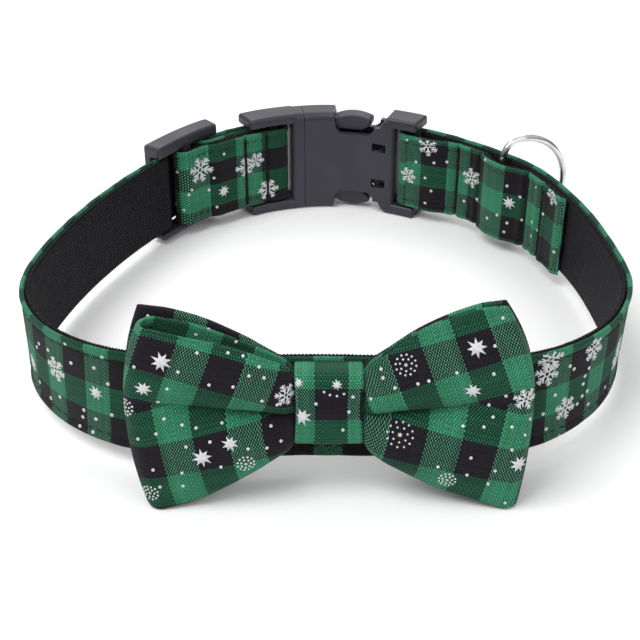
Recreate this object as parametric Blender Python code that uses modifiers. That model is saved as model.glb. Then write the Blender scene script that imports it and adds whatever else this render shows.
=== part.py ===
# Pet bow tie collar: a webbing strap with a plaid cover, a side-release buckle,
# a strap slider, a leash ring and a stacked bow. It stands on its lower edge.
import math

import bmesh
import bpy
from mathutils import Vector

mm = 0.001

# Strap
loop_width = 161.5 * mm  # over the outer face, left to right
loop_depth = 155 * mm  # over the outer face, bow to buckle
strap_width = 26 * mm
webbing_thickness = 1.2 * mm
strap_low = 0.4 * mm  # the strap's middle sits this far below the buckle's
webbing_inset = 0.5 * mm  # the webbing's edge lies this far inside the cover's
cover_thickness = 1.0 * mm
edge_roll = 0.3 * mm  # the cover's folded long edges stand this proud
edge_roll_height = 1.8 * mm
gap = 0.3 * mm  # between pieces that touch
front_lift = 5.0 * mm  # the strap's lower edge above the floor at the bow
station_step = 4.5 * mm

# Buckle
buckle_height = 35 * mm
buckle_thickness = 10 * mm
buckle_seam = -9.5 * mm  # along the strap, from the middle of the back
female_length = 45 * mm
female_slot = 36.5 * mm  # where its slot for the strap starts, from the seam
male_length = 22.5 * mm
male_slot = 5.0 * mm
buckle_wall = 2.0 * mm
web_bar_thickness = 3.0 * mm
web_bar_width = 4.0 * mm
body_plate = 6.5 * mm  # solid end of the female box, before its slot
fold_room = 0.8 * mm  # slack between the strap's turns and the web bars
rail_height = 3.6 * mm  # the frames' rails above and below the strap
window_start = 12.5 * mm  # the side windows, from the seam
window_length = 16 * mm
window_depth = 7 * mm
neck_depth = 4.0 * mm  # past each window the box stays this much narrower,
neck_length = 6.0 * mm  # then widens to the strap's frame
core_slot = (5.5 * mm, 3.0 * mm)  # two small recesses in the female's inner face
core_slot_spread = 13 * mm
arm_width = 4.0 * mm
edge_of_button = 1.0 * mm  # the release buttons lie this far inside the buckle's edges
guide_width = 7.0 * mm
guide_length = 17 * mm
buckle_corner = 2.4 * mm
slice_step = 5.0 * mm

# Slider
slider_place = 0.1105  # share of the loop's length, from the middle of the back
slider_length = 28 * mm
slider_over = 3.5 * mm  # its rails reach this far past the strap's edges
slider_height = strap_width + slider_over * 2
slider_raise = 1.0 * mm  # it sits this far above the strap's middle
slider_thickness = 6.6 * mm
slider_bar = 3.0 * mm  # width of its end bars
centre_bar_thickness = 2.0 * mm
centre_bar_width = 4.0 * mm
centre_bar_depth = 2.4 * mm  # its middle, inside the strap's outer face
slider_reach = 3.2 * mm  # how far the slider stands out of the strap
tail_end = 10.5 * mm  # the strap's hidden end, from the male slot

# Leash ring
ring_wire = 2.2 * mm
ring_over = 3.3 * mm  # the wire clears the strap's edges by this
ring_inside_height = strap_width + ring_over * 2
ring_slack = 1.2 * mm  # room for its bar between the strap's layers
ring_raise = 1.6 * mm  # it hangs this far above the strap's middle
ring_reach = 25.0 * mm  # from the bar's centre to the arc's outermost point
ring_corner = 6.0 * mm
ring_turn = math.radians(-18)  # from straight out of the strap
ring_sides = 10

# Sewn seams on the doubled right end, from the female slot
seam_near = 24.0 * mm
seam_before_ring = 34.5 * mm
ring_from_slot = 42.5 * mm
seam_after_ring = 55.5 * mm
seam_last = 64.5 * mm
fold_end = 76.5 * mm
seam_width = 1.6 * mm

# Bow
bow_length = 93 * mm
bow_height = 47 * mm
bow_raise = 4.0 * mm  # the knot's centre above the strap's centre line
bow_left = 0.8 * mm  # and to the left of the loop's middle
back_layer_thickness = 2.4 * mm
front_layer_thickness = 1.2 * mm
knot_width = 15.0 * mm
knot_height = 18.6 * mm
knot_thickness = 1.3 * mm
knot_pinch = 0.4 * mm  # how far the knot's long edges curve in
back_stand_off = 5.0 * mm  # middle of the back layer at its tips, from the strap
loop_hollow = 4.4 * mm  # clear space inside the front bow's wings, near the tips
wing_upright = 0.05  # the wings stand this much straighter than the strap
floor_clear = 0.2 * mm  # the middle of the wings' walls stays this far above the floor
left_corner_cut = (3.7 * mm, 4.0 * mm)  # a wing is this much shorter at its top and bottom
right_corner_cut = (7.0 * mm, 2.0 * mm)
right_top_closed = 0.6  # share of the hollow that the right wing loses at its top edge

# The loop's outer face from the middle of the front, by the right, as shares
# of half its width and half its depth; lean is how far the top stands out,
# as a share of the strap's width
loop_shape = (
    # place            across   back    lean
    ("bow",             0.00, -0.98, -0.175),
    ("bow right",       0.46, -1.00, -0.15),
    ("front right",     0.70, -0.92, -0.05),
    ("corner right",    0.89, -0.74,  0.03),
    ("side right",      0.99, -0.49,  0.03),
    ("widest right",    0.99, -0.27,  0.01),
    ("flank right",     0.965, -0.01, 0.00),
    ("fold end",        0.92,  0.19,  0.00),
    ("ring front",      0.84,  0.43,  0.00),
    ("ring",            0.72,  0.59,  0.00),
    ("ring back",       0.59,  0.72,  0.00),
    ("female frame",    0.45,  0.83,  0.00),
    ("female box",      0.26,  0.93,  0.00),
    ("buckle",          0.01,  0.99,  0.00),
    ("male base",      -0.24,  0.94,  0.00),
    ("male frame",     -0.40,  0.85,  0.00),
    ("slider back",    -0.555, 0.715, 0.00),
    ("slider front",   -0.72,  0.465, 0.00),
    ("flank left",     -0.83,  0.24,  0.00),
    ("side left",      -0.915, 0.02,  0.00),
    ("widest left",    -0.985, -0.24, 0.00),
    ("corner left",    -1.01, -0.52,  0.00),
    ("front left",     -0.885, -0.785, -0.02),
    ("beside bow",     -0.645, -0.95, -0.12),
    ("bow left",       -0.38, -0.99, -0.165),
)

# A wing's upper and lower edge, from the bow's middle line, as shares of half
# the bow's height; out is the share of half its length. The rear panel's upper
# edge stands higher than the front one's
left_wing = (
    # out   top    bottom  rear top
    (0.00,  0.29, -0.29,   0.29),
    (0.17,  0.30, -0.30,   0.30),
    (0.21,  0.42, -0.42,   0.42),
    (0.28,  0.50, -0.49,   0.51),
    (0.42,  0.61, -0.64,   0.62),
    (0.60,  0.73, -0.80,   0.77),
    (0.80,  0.83, -0.94,   0.90),
    (1.00,  0.94, -1.01,   0.97),
)
right_wing = (
    (0.00,  0.29, -0.29,   0.29),
    (0.17,  0.30, -0.30,   0.30),
    (0.21,  0.42, -0.42,   0.42),
    (0.28,  0.53, -0.52,   0.52),
    (0.42,  0.73, -0.65,   0.70),
    (0.60,  0.92, -0.80,   0.88),
    (0.80,  1.06, -0.90,   1.02),
    (1.00,  1.13, -1.00,   1.08),
)
back_wing = (
    # out   top    bottom  right top
    (0.00,  0.28, -0.28,   0.28),
    (0.17,  0.29, -0.29,   0.29),
    (0.21,  0.38, -0.36,   0.38),
    (0.32,  0.52, -0.50,   0.53),
    (0.46,  0.68, -0.66,   0.72),
    (0.65,  0.86, -0.82,   0.90),
    (0.85,  0.98, -0.92,   1.03),
    (1.00,  1.02, -0.95,   1.07),
)

# How far the front bow's face stands out: the crease line and its two lobes, as
# shares of the loop's hollow, and the crease's height as a share like the edges
face_relief = (
    # out   crease  lobe   height
    (0.00,  0.00,   0.08, -0.06),
    (0.17,  0.02,   0.12, -0.06),
    (0.24,  0.12,   0.70, -0.06),
    (0.38,  0.28,   0.95, -0.01),
    (0.58,  0.52,   0.80,  0.04),
    (0.80,  0.82,   0.45,  0.12),
    (1.00,  1.00,   0.20,  0.18),
)

strap_thickness = webbing_thickness + gap + cover_thickness + edge_roll
back_lift = (buckle_height - strap_width) / 2 - strap_low
webbing_depth = strap_thickness - webbing_thickness / 2  # its middle, from the outer face
cover_side = webbing_thickness / 2 + gap  # the cover's inner face, from the webbing's middle
bar_turn = web_bar_thickness / 2 + gap + webbing_thickness / 2
bar_depth = webbing_depth + bar_turn  # the web bars' and the buckle's middle
inner_at_bar = bar_depth + bar_turn
inner_sewn = webbing_depth + webbing_thickness + gap
inner_at_ring = inner_sewn + ring_wire + gap + ring_slack
ring_depth = strap_thickness + gap + ring_wire / 2 + ring_slack
layer_step = strap_thickness + gap  # from the main strap to the tail behind it
inner_by_tail = webbing_depth + layer_step + webbing_thickness + gap
centre_bar_turn = centre_bar_thickness / 2 + gap + webbing_thickness / 2


def smoothstep(t):
    t = min(max(t, 0.0), 1.0)
    return t * t * (3 - 2 * t)


def tableValue(table, at, column):
    """The table's column at this share, with a smooth curve between its rows."""
    rows = list(table)
    at = min(max(at, rows[0][0]), rows[-1][0])
    index = 0
    while index < len(rows) - 2 and at > rows[index + 1][0]:
        index += 1
    first, second = rows[index], rows[index + 1]
    before = rows[max(index - 1, 0)]
    after = rows[min(index + 2, len(rows) - 1)]
    span = second[0] - first[0]
    t = (at - first[0]) / span
    slope_in = (second[column] - before[column]) / max(second[0] - before[0], 1e-9) * span
    slope_out = (after[column] - first[column]) / max(after[0] - first[0], 1e-9) * span
    return (
        (2 * t**3 - 3 * t**2 + 1) * first[column]
        + (t**3 - 2 * t**2 + t) * slope_in
        + (-2 * t**3 + 3 * t**2) * second[column]
        + (t**3 - t**2) * slope_out
    )


def closedCurve(points, per_span):
    """A smooth closed curve through the points (Catmull-Rom)."""
    made = []
    count = len(points)
    for i in range(count):
        a, b = points[i - 1], points[i]
        c, d = points[(i + 1) % count], points[(i + 2) % count]
        for step in range(per_span):
            t = step / per_span
            made.append(
                0.5
                * (
                    2 * b
                    + (c - a) * t
                    + (2 * a - 5 * b + 4 * c - d) * t**2
                    + (3 * b - 3 * c + d - a) * t**3
                )
            )
    return made


def evened(points, rounds):
    """Each point drawn halfway to its neighbours' mean, which takes out small kinks."""
    for _ in range(rounds):
        points = [
            points[i] * 0.5 + (points[i - 1] + points[(i + 1) % len(points)]) * 0.25
            for i in range(len(points))
        ]
    return points


class Loop:
    """The strap's outer face in plan. s runs from the bow's middle by the right, o outwards."""

    def __init__(self):
        rows = [
            Vector((across * loop_width / 2, back * loop_depth / 2, lean * strap_width))
            for _, across, back, lean in loop_shape
        ]
        self.points = evened(closedCurve(rows, 16), 60)
        self.length = 0.0
        self.marks = [0.0]
        for i, point in enumerate(self.points):
            following = self.points[(i + 1) % len(self.points)]
            self.length += (following.xy - point.xy).length
            self.marks.append(self.length)

    def at(self, s):
        """(plan point, outward normal, lean) at this length along the loop."""
        s = s % self.length
        low, high = 0, len(self.points)
        while high - low > 1:
            middle = (low + high) // 2
            if self.marks[middle] <= s:
                low = middle
            else:
                high = middle
        t = (s - self.marks[low]) / (self.marks[low + 1] - self.marks[low])
        count = len(self.points)
        first, second = self.points[low], self.points[(low + 1) % count]
        turn_in = self.points[(low + 2) % count].xy - self.points[low - 1].xy
        turn = (self.points[(low + 1) % count].xy - self.points[low - 1].xy).lerp(turn_in, t)
        point = first.lerp(second, t)
        turn.normalize()
        return point.xy, Vector((turn.y, -turn.x)), point.z


loop = Loop()


def backMiddle():
    """Length along the loop at which it is farthest back."""
    steps = 400
    places = [loop.length * i / steps for i in range(steps)]
    return max(places, key=lambda s: loop.at(s)[0].y)


back_s = backMiddle()
seam_s = back_s - buckle_seam
male_slot_s = seam_s + male_slot
female_slot_s = seam_s - female_slot
ring_s = female_slot_s - ring_from_slot
slider_s = back_s + slider_place * loop.length


def strapBottom(point):
    """The height of the strap's lower edge, which rises from the buckle to the bow."""
    share = (loop_depth / 2 - point.y) / loop_depth
    return back_lift + (front_lift - back_lift) * share


def onStrap(s, o, h):
    """World position of a point h above the strap's lower edge and o outside its outer face."""
    point, normal, lean = loop.at(s)
    plan = point + normal * (o + lean * (h / strap_width - 0.5))
    return Vector((plan.x, plan.y, strapBottom(point) + h))


def onFloor(s, o, z):
    """World position at height z, o outside the strap's outer face, standing upright."""
    point, normal, _ = loop.at(s)
    plan = point + normal * o
    return Vector((plan.x, plan.y, z))


def newMaterial(name, color, roughness, metallic=0.0):
    material = bpy.data.materials.new(name)
    material.use_nodes = True
    shader = material.node_tree.nodes["Principled BSDF"]
    shader.inputs["Base Color"].default_value = (*color, 1.0)
    shader.inputs["Roughness"].default_value = roughness
    shader.inputs["Metallic"].default_value = metallic
    return material


def newObject(name, mesh, material, collection):
    made = bpy.data.objects.new(name, mesh)
    collection.objects.link(made)
    if material:
        mesh.materials.append(material)
    return made


def finishMesh(name, shape):
    bmesh.ops.recalc_face_normals(shape, faces=shape.faces)
    mesh = bpy.data.meshes.new(name)
    shape.to_mesh(mesh)
    shape.free()
    return mesh


def loft(name, rings, closed):
    """A solid skinned over equal rings of points, joined end to start or capped."""
    shape = bmesh.new()
    rows = [[shape.verts.new(point) for point in ring] for ring in rings]
    sides = len(rows[0])
    spans = len(rows) if closed else len(rows) - 1
    for i in range(spans):
        first, second = rows[i], rows[(i + 1) % len(rows)]
        for j in range(sides):
            k = (j + 1) % sides
            shape.faces.new((first[j], first[k], second[k], second[j]))
    if not closed:
        shape.faces.new(rows[0])
        shape.faces.new(rows[-1])
    return finishMesh(name, shape)


def sheet(name, rows, around):
    """An open sheet over rows of points; around joins the last row to the first."""
    shape = bmesh.new()
    grid = [[shape.verts.new(point) for point in row] for row in rows]
    spans = len(grid) if around else len(grid) - 1
    for i in range(spans):
        first, second = grid[i], grid[(i + 1) % len(grid)]
        for j in range(len(first) - 1):
            shape.faces.new((first[j], first[j + 1], second[j + 1], second[j]))
    return finishMesh(name, shape)


def thicken(made, thickness):
    wall = made.modifiers.new("Wall", "SOLIDIFY")
    wall.thickness = thickness
    wall.offset = 0.0
    wall.use_even_offset = True


# The strap's route


def eased(rows):
    """Stations between the rows, each (along, offset), with a soft change of offset."""
    made = [rows[0]]
    for (s0, o0), (s1, o1) in zip(rows, rows[1:]):
        step = station_step if abs(o1 - o0) < gap else station_step / 2
        count = max(1, math.ceil(abs(s1 - s0) / step))
        for i in range(1, count + 1):
            t = i / count
            made.append((s0 + (s1 - s0) * t, o0 + (o1 - o0) * smoothstep(t)))
    return made


def halfTurn(s, o, radius, way):
    """Stations round a bar: way +1 turns at its far side and goes in, -1 at its near side."""
    steps = 8
    angles = [math.pi * i / steps for i in range(1, steps)]
    return [(s + way * radius * math.sin(a), o + way * radius * math.cos(a)) for a in angles]


def leftNormals(route):
    normals = []
    for i in range(len(route)):
        before = route[max(i - 1, 0)]
        after = route[min(i + 1, len(route) - 1)]
        turn = Vector((after[0] - before[0], after[1] - before[1])).normalized()
        normals.append(Vector((-turn.y, turn.x)))
    return normals


def beside(route, distance):
    return [
        (s + normal.x * distance, o + normal.y * distance)
        for (s, o), normal in zip(route, leftNormals(route))
    ]


turn_clear = gap + strap_thickness - webbing_thickness / 2
male_turn_s = male_slot_s + turn_clear + bar_turn
female_turn_s = female_slot_s - turn_clear - bar_turn
male_bar_s = male_turn_s + fold_room + (web_bar_width - web_bar_thickness) / 2
female_bar_s = female_turn_s - fold_room - (web_bar_width - web_bar_thickness) / 2
main_over_bar = -centre_bar_depth + centre_bar_turn + layer_step
slider_inside = slider_length / 2 - slider_bar - gap
centre_turn_s = slider_s + (centre_bar_width - centre_bar_thickness) / 2


def slidersRise():
    """The main strap's rise over the slider's centre bar, between its end bars."""
    return [
        (slider_s - slider_inside, -webbing_depth),
        (slider_s - centre_bar_width * 0.8, main_over_bar),
        (slider_s + centre_bar_width * 0.8, main_over_bar),
        (slider_s + slider_inside, -webbing_depth),
    ]


def strapRoute():
    """The webbing's middle from its hidden tail to its sewn end at the ring."""
    main = eased([(male_turn_s, -webbing_depth)] + slidersRise())
    tail = [row for row in beside(main, -layer_step) if male_slot_s + tail_end < row[0]]
    tail = [row for row in tail if row[0] < centre_turn_s - centre_bar_thickness / 4]
    route = tail + [(centre_turn_s, -centre_bar_depth + centre_bar_turn)]
    route += halfTurn(centre_turn_s, -centre_bar_depth, centre_bar_turn, 1)
    route += eased(
        [
            (centre_turn_s, -centre_bar_depth - centre_bar_turn),
            (slider_s - centre_bar_width, -centre_bar_depth - centre_bar_turn),
            (slider_s - slider_inside, -inner_by_tail),
            (male_slot_s + tail_end * 2, -inner_by_tail),
            (male_turn_s, -inner_at_bar),
        ]
    )
    route += halfTurn(male_turn_s, -bar_depth, bar_turn, -1)
    route += main
    route += eased([main[-1], (loop.length + female_turn_s, -webbing_depth)])[1:]
    route += halfTurn(loop.length + female_turn_s, -bar_depth, bar_turn, 1)
    slot = loop.length + female_slot_s
    route += eased(
        [
            (slot - female_slot_s + female_turn_s, -inner_at_bar),
            (slot - seam_near * 0.55, -inner_at_bar),
            (slot - seam_near, -inner_sewn),
            (slot - seam_before_ring, -inner_sewn),
            (slot - ring_from_slot + ring_wire * 1.5, -inner_at_ring),
            (slot - ring_from_slot - ring_wire * 1.5, -inner_at_ring),
            (slot - seam_after_ring, -inner_sewn),
            (slot - fold_end, -inner_sewn),
        ]
    )
    return route


def strip(name, route, section, material, collection):
    """The section's (offset, height) points swept along the strap's route."""
    rings = []
    for (s, o), normal in zip(route, leftNormals(route)):
        rings.append([onStrap(s + normal.x * q, o + normal.y * q, h) for q, h in section])
    made = newObject(name, loft(name, rings, False), material, collection)
    made.data.shade_smooth()
    made.data.set_sharp_from_angle(angle=math.radians(40))
    return made


def webbingSection():
    half = webbing_thickness / 2
    low, high = webbing_inset, strap_width - webbing_inset
    return [(-half, low), (half, low), (half, high), (-half, high)]


def coverSection():
    """A flat sheet whose folded long edges stand a little proud."""
    inner = cover_side
    face = inner + cover_thickness
    crest = face + edge_roll
    low, high, roll = 0.0, strap_width, edge_roll_height
    chamfer = edge_roll
    return [
        (inner, low),
        (crest - chamfer, low),
        (crest, low + chamfer),
        (crest, low + roll - chamfer),
        (face, low + roll),
        (face, high - roll),
        (crest, high - roll + chamfer),
        (crest, high - chamfer),
        (crest - chamfer, high),
        (inner, high),
    ]


# Moulded pieces: built flat, along x, with y outwards, then laid along the strap


def block(shape, low, high):
    made = bmesh.ops.create_cube(shape, size=1.0)["verts"]
    size = [high[i] - low[i] for i in range(3)]
    middle = Vector([(high[i] + low[i]) / 2 for i in range(3)])
    bmesh.ops.scale(shape, vec=size, verts=made)
    bmesh.ops.translate(shape, vec=middle, verts=made)


def prism(shape, outline, low_y, high_y):
    """The (x, z) outline made solid from low_y to high_y."""
    near = [shape.verts.new((x, low_y, z)) for x, z in outline]
    far = [shape.verts.new((x, high_y, z)) for x, z in outline]
    shape.faces.new(near)
    shape.faces.new(far)
    for i in range(len(outline)):
        k = (i + 1) % len(outline)
        shape.faces.new((near[i], near[k], far[k], far[i]))
    bmesh.ops.recalc_face_normals(shape, faces=shape.faces)


def roundBar(shape, x, width, thickness, y, low_z, high_z):
    """An upright bar whose section is a rectangle with half-round ends."""
    steps = 4
    radius = thickness / 2
    flat = (width - thickness) / 2
    outline = []
    for side in (1, -1):
        for i in range(steps + 1):
            a = math.pi * (i / steps - 0.5)
            outline.append(
                (x + side * (flat + radius * math.cos(a)), y + side * radius * math.sin(a))
            )
    low = [shape.verts.new((px, py, low_z)) for px, py in outline]
    high = [shape.verts.new((px, py, high_z)) for px, py in outline]
    shape.faces.new(low)
    shape.faces.new(high)
    for i in range(len(outline)):
        k = (i + 1) % len(outline)
        shape.faces.new((low[i], low[k], high[k], high[i]))
    bmesh.ops.recalc_face_normals(shape, faces=shape.faces)


def piece(name, build, helpers, rounded=0.0):
    """A closed shape as an object among the helpers, with its long edges rounded."""
    shape = bmesh.new()
    build(shape)
    made = newObject(name, finishMesh(name, shape), None, helpers)
    made.hide_render = True
    made.display_type = "WIRE"
    if rounded:
        bevel = made.modifiers.new("Rounded", "BEVEL")
        bevel.width = rounded
        bevel.segments = 2
        bevel.limit_method = "ANGLE"
    return made


def combined(base, joined, cut):
    """The base with the joined pieces added and the cut ones taken away, as a mesh."""
    for operation, others in (("UNION", joined), ("DIFFERENCE", cut)):
        for other in others:
            step = base.modifiers.new(operation.title(), "BOOLEAN")
            step.operation = operation
            step.object = other
            step.solver = "EXACT"
    bpy.context.view_layer.update()
    graph = bpy.context.evaluated_depsgraph_get()
    mesh = bpy.data.meshes.new_from_object(base.evaluated_get(graph))
    base.modifiers.clear()
    return mesh


def laidAlong(name, flat, s, way, y, z, material, collection):
    """The flat mesh sliced across and bent along the strap, from s, with way +1 or -1."""
    shape = bmesh.new()
    shape.from_mesh(flat)
    xs = [vert.co.x for vert in shape.verts]
    cuts = int((max(xs) - min(xs)) / slice_step)
    for i in range(1, cuts + 1):
        at = min(xs) + slice_step * (i - 0.37)
        everything = shape.verts[:] + shape.edges[:] + shape.faces[:]
        bmesh.ops.bisect_plane(
            shape, geom=everything, plane_co=(at, 0, 0), plane_no=(1, 0, 0), dist=1e-6
        )
    for vert in shape.verts:
        vert.co = onFloor(s + way * vert.co.x, y + vert.co.y, z + vert.co.z)
    bmesh.ops.triangulate(shape, faces=shape.faces)
    made = newObject(name, finishMesh(name, shape), material, collection)
    made.data.shade_smooth()
    made.data.set_sharp_from_angle(angle=math.radians(35))
    return made


def windowOutline(top):
    """A side window: wider at the buckle's edge than inside."""
    slant = window_depth * 0.25
    start, end = window_start, window_start + window_length
    edge = buckle_height + buckle_wall if top else -buckle_wall
    deep = buckle_height - window_depth if top else window_depth
    neck = buckle_height - neck_depth if top else neck_depth
    outline = [(start - slant / 2, edge), (start + slant, deep), (end - slant, deep)]
    return outline + [(end, neck), (end + neck_depth / 2, neck), (end + neck_length, edge)]


def femalePart(material, collection, helpers):
    half = buckle_thickness / 2
    cavity = half - buckle_wall
    box_end = female_slot
    body = piece(
        "female_body",
        lambda shape: block(shape, (gap, -half, 0), (box_end, half, buckle_height)),
        helpers,
        buckle_corner,
    )
    joined = []
    for low, high in ((0.0, rail_height), (buckle_height - rail_height, buckle_height)):
        joined.append(
            piece(
                "female_rail",
                lambda shape, low=low, high=high: block(
                    shape,
                    (box_end - buckle_wall * 2, -half * 0.92, low),
                    (female_length, half * 0.92, high),
                ),
                helpers,
                buckle_corner / 3,
            )
        )
    bar_x = seam_s - female_bar_s
    joined.append(
        piece(
            "female_bar",
            lambda shape: roundBar(
                shape,
                bar_x,
                web_bar_width,
                web_bar_thickness,
                0.0,
                rail_height / 2,
                buckle_height - rail_height / 2,
            ),
            helpers,
        )
    )
    cut = [
        piece(
            "female_cavity",
            lambda shape: block(
                shape,
                (-buckle_wall, -cavity, buckle_wall),
                (box_end - body_plate, cavity, buckle_height - buckle_wall),
            ),
            helpers,
        )
    ]
    for top in (True, False):
        cut.append(
            piece(
                "female_window",
                lambda shape, top=top: prism(shape, windowOutline(top), -half * 2, half * 2),
                helpers,
            )
        )
        middle = buckle_height / 2 + core_slot_spread / 2 * (1 if top else -1)
        end = box_end - body_plate / 2
        cut.append(
            piece(
                "core_slot",
                lambda shape, middle=middle, end=end: block(
                    shape,
                    (end - core_slot[0], -half * 2, middle - core_slot[1] / 2),
                    (end, -half + buckle_wall * 0.6, middle + core_slot[1] / 2),
                ),
                helpers,
            )
        )
    flat = combined(body, joined, cut)
    return laidAlong(
        "buckle_female", flat, seam_s, -1, -bar_depth, 0.0, material, collection
    )


def armOutline(top):
    """A spring arm that runs from the male base into the female's side window."""
    clear = gap * 1.5
    outer = buckle_height - buckle_wall - clear
    inner = outer - arm_width
    button = buckle_height - edge_of_button
    start = window_start + clear
    end = window_start + window_length - window_depth * 0.25 - clear
    points = [
        (-gap * 2, inner),
        (end - arm_width, inner),
        (end, inner + arm_width / 2),
        (end, outer),
        (end - arm_width / 2, button),
        (start + arm_width / 2, button),
        (start, outer),
        (-gap * 2, outer),
    ]
    if not top:
        points = [(x, buckle_height - z) for x, z in points]
    return points


def malePart(material, collection, helpers):
    half = buckle_thickness / 2
    inside = half - buckle_wall - gap
    body = piece(
        "male_plate",
        lambda shape: block(shape, (-male_slot, -half, 0), (0, half, buckle_height)),
        helpers,
        buckle_corner / 3,
    )
    joined = []
    for low, high in ((0.0, rail_height), (buckle_height - rail_height, buckle_height)):
        joined.append(
            piece(
                "male_rail",
                lambda shape, low=low, high=high: block(
                    shape, (-male_length, -half * 0.92, low), (-male_slot / 2, half * 0.92, high)
                ),
                helpers,
                buckle_corner / 3,
            )
        )
    bar_x = seam_s - male_bar_s
    joined.append(
        piece(
            "male_bar",
            lambda shape: roundBar(
                shape,
                bar_x,
                web_bar_width,
                web_bar_thickness,
                0.0,
                rail_height / 2,
                buckle_height - rail_height / 2,
            ),
            helpers,
        )
    )
    for top in (True, False):
        joined.append(
            piece(
                "male_arm",
                lambda shape, top=top: prism(shape, armOutline(top), -inside, inside),
                helpers,
                buckle_corner / 6,
            )
        )
    middle = buckle_height / 2
    joined.append(
        piece(
            "male_guide",
            lambda shape: block(
                shape,
                (-gap * 2, -inside, middle - guide_width / 2),
                (guide_length, inside, middle + guide_width / 2),
            ),
            helpers,
            buckle_corner / 3,
        )
    )
    flat = combined(body, joined, [])
    return laidAlong("buckle_male", flat, seam_s, -1, -bar_depth, 0.0, material, collection)


def sliderPart(material, collection, helpers):
    half = slider_height / 2
    inner_top = strap_width / 2 + gap - slider_raise
    inner_low = strap_width / 2 + gap + slider_raise
    out, deep = slider_reach, slider_reach - slider_thickness
    ends = slider_length / 2
    body = piece(
        "slider_rail",
        lambda shape: block(shape, (-ends, deep, inner_top), (ends, out, half)),
        helpers,
        buckle_corner / 2.5,
    )
    joined = [
        piece(
            "slider_rail",
            lambda shape: block(shape, (-ends, deep, -half), (ends, out, -inner_low)),
            helpers,
            buckle_corner / 2.5,
        )
    ]
    for side in (1, -1):
        near, far = sorted((side * (ends - slider_bar), side * ends * 0.995))
        joined.append(
            piece(
                "slider_end",
                lambda shape, near=near, far=far: block(
                    shape, (near, gap, -half * 0.93), (far, out * 0.98, half * 0.93)
                ),
                helpers,
                buckle_corner / 4,
            )
        )
    joined.append(
        piece(
            "slider_bar",
            lambda shape: roundBar(
                shape,
                0.0,
                centre_bar_width,
                centre_bar_thickness,
                -centre_bar_depth,
                -half * 0.93,
                half * 0.93,
            ),
            helpers,
        )
    )
    flat = combined(body, joined, [])
    point = loop.at(slider_s)[0]
    height = strapBottom(point) + strap_width / 2 + slider_raise
    return laidAlong("slider", flat, slider_s, 1, 0.0, height, material, collection)


# Leash ring


def ringPath():
    """The wire's middle, as (reach from the bar, height from its middle)."""
    half = (ring_inside_height + ring_wire) / 2
    reach = ring_reach - ring_wire / 2
    points = [(0.0, -half + ring_corner), (0.0, 0.0), (0.0, half - ring_corner)]
    for i in range(1, 5):
        a = math.pi / 2 * i / 4
        points.append(
            (ring_corner * (1 - math.cos(a)), half - ring_corner * (1 - math.sin(a)))
        )
    steps = 18
    for i in range(1, steps):
        a = math.pi / 2 - math.pi * i / steps
        points.append((ring_corner + (reach - ring_corner) * math.cos(a), half * math.sin(a)))
    for i in range(4, 0, -1):
        a = math.pi / 2 * i / 4
        points.append(
            (ring_corner * (1 - math.cos(a)), -half + ring_corner * (1 - math.sin(a)))
        )
    return points


def ringPart(material, collection):
    point, normal, _ = loop.at(ring_s)
    centre = onFloor(ring_s, -ring_depth, strapBottom(point) + strap_width / 2 + ring_raise)
    curve = bpy.data.curves.new("d_ring_wire", "CURVE")
    curve.dimensions = "3D"
    curve.bevel_depth = ring_wire / 2
    curve.bevel_resolution = 2
    curve.use_fill_caps = True
    path = ringPath()
    spline = curve.splines.new("POLY")
    spline.points.add(len(path) - 1)
    for row, (reach, height) in zip(spline.points, path):
        row.co = (reach, 0.0, height, 1.0)
    spline.use_cyclic_u = True
    wire = bpy.data.objects.new("d_ring_wire", curve)
    collection.objects.link(wire)
    bpy.context.view_layer.update()
    graph = bpy.context.evaluated_depsgraph_get()
    mesh = bpy.data.meshes.new_from_object(wire.evaluated_get(graph))
    bpy.data.objects.remove(wire)
    ring = newObject("d_ring", mesh, material, collection)
    mesh.shade_smooth()
    ring.location = centre
    ring.rotation_euler = (0, 0, math.atan2(normal.y, normal.x) + ring_turn)
    return ring


# Bow


knot_wall = knot_thickness + gap
back_middle = gap + knot_wall + back_layer_thickness / 2
rear_middle = back_middle + (back_layer_thickness + front_layer_thickness) / 2 + gap
bow_centre = onStrap(-bow_left, 0.0, strap_width / 2 + bow_raise)
bow_up = (onStrap(0.0, 0.0, strap_width) - onStrap(0.0, 0.0, 0.0)).normalized()
bow_across = Vector((1, 0, 0))
bow_out = bow_across.cross(bow_up)


def onBow(x, u, w):
    """World position on the bow: x across, u up its face, w out of the strap, off the floor."""
    made = bow_centre + bow_across * x + bow_up * u + bow_out * w
    return Vector((made.x, made.y, max(made.z, floor_clear)))


def wingPoint(table, side, out, v, top_column=1):
    """(across, up) on a wing: out runs from the knot to the tip, v from -1 below to 1 above."""
    crease = tableValue(face_relief, out, 3)
    edge = tableValue(table, out, top_column if v > 0 else 2)
    up = crease + abs(v) * (edge - crease)
    cuts = right_corner_cut if side > 0 else left_corner_cut
    cut = cuts[0] if v > 0 else cuts[1]
    across = out * (bow_length / 2 - cut * v * v * out)
    return side * across, up * bow_height / 2


def upright(up, out):
    return wing_upright * up * smoothstep(out)


def lobeShape(v):
    """The two lobes beside the crease, each highest a little past half way."""
    return 1 - ((abs(v) - 0.55) / 0.55) ** 2


heights = [i / 5 - 1 for i in range(11)]
wing_steps = [0.0, 0.08, 0.165, 0.195, 0.24, 0.31, 0.4, 0.5, 0.6, 0.7, 0.8, 0.9, 1.0]


def backDepth(out):
    return back_middle + (back_stand_off - back_middle) * smoothstep(out)


def rearDepth(out):
    step = (back_layer_thickness + front_layer_thickness) / 2 + gap
    return backDepth(out) + step + gap * 2 * smoothstep(out)


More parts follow.
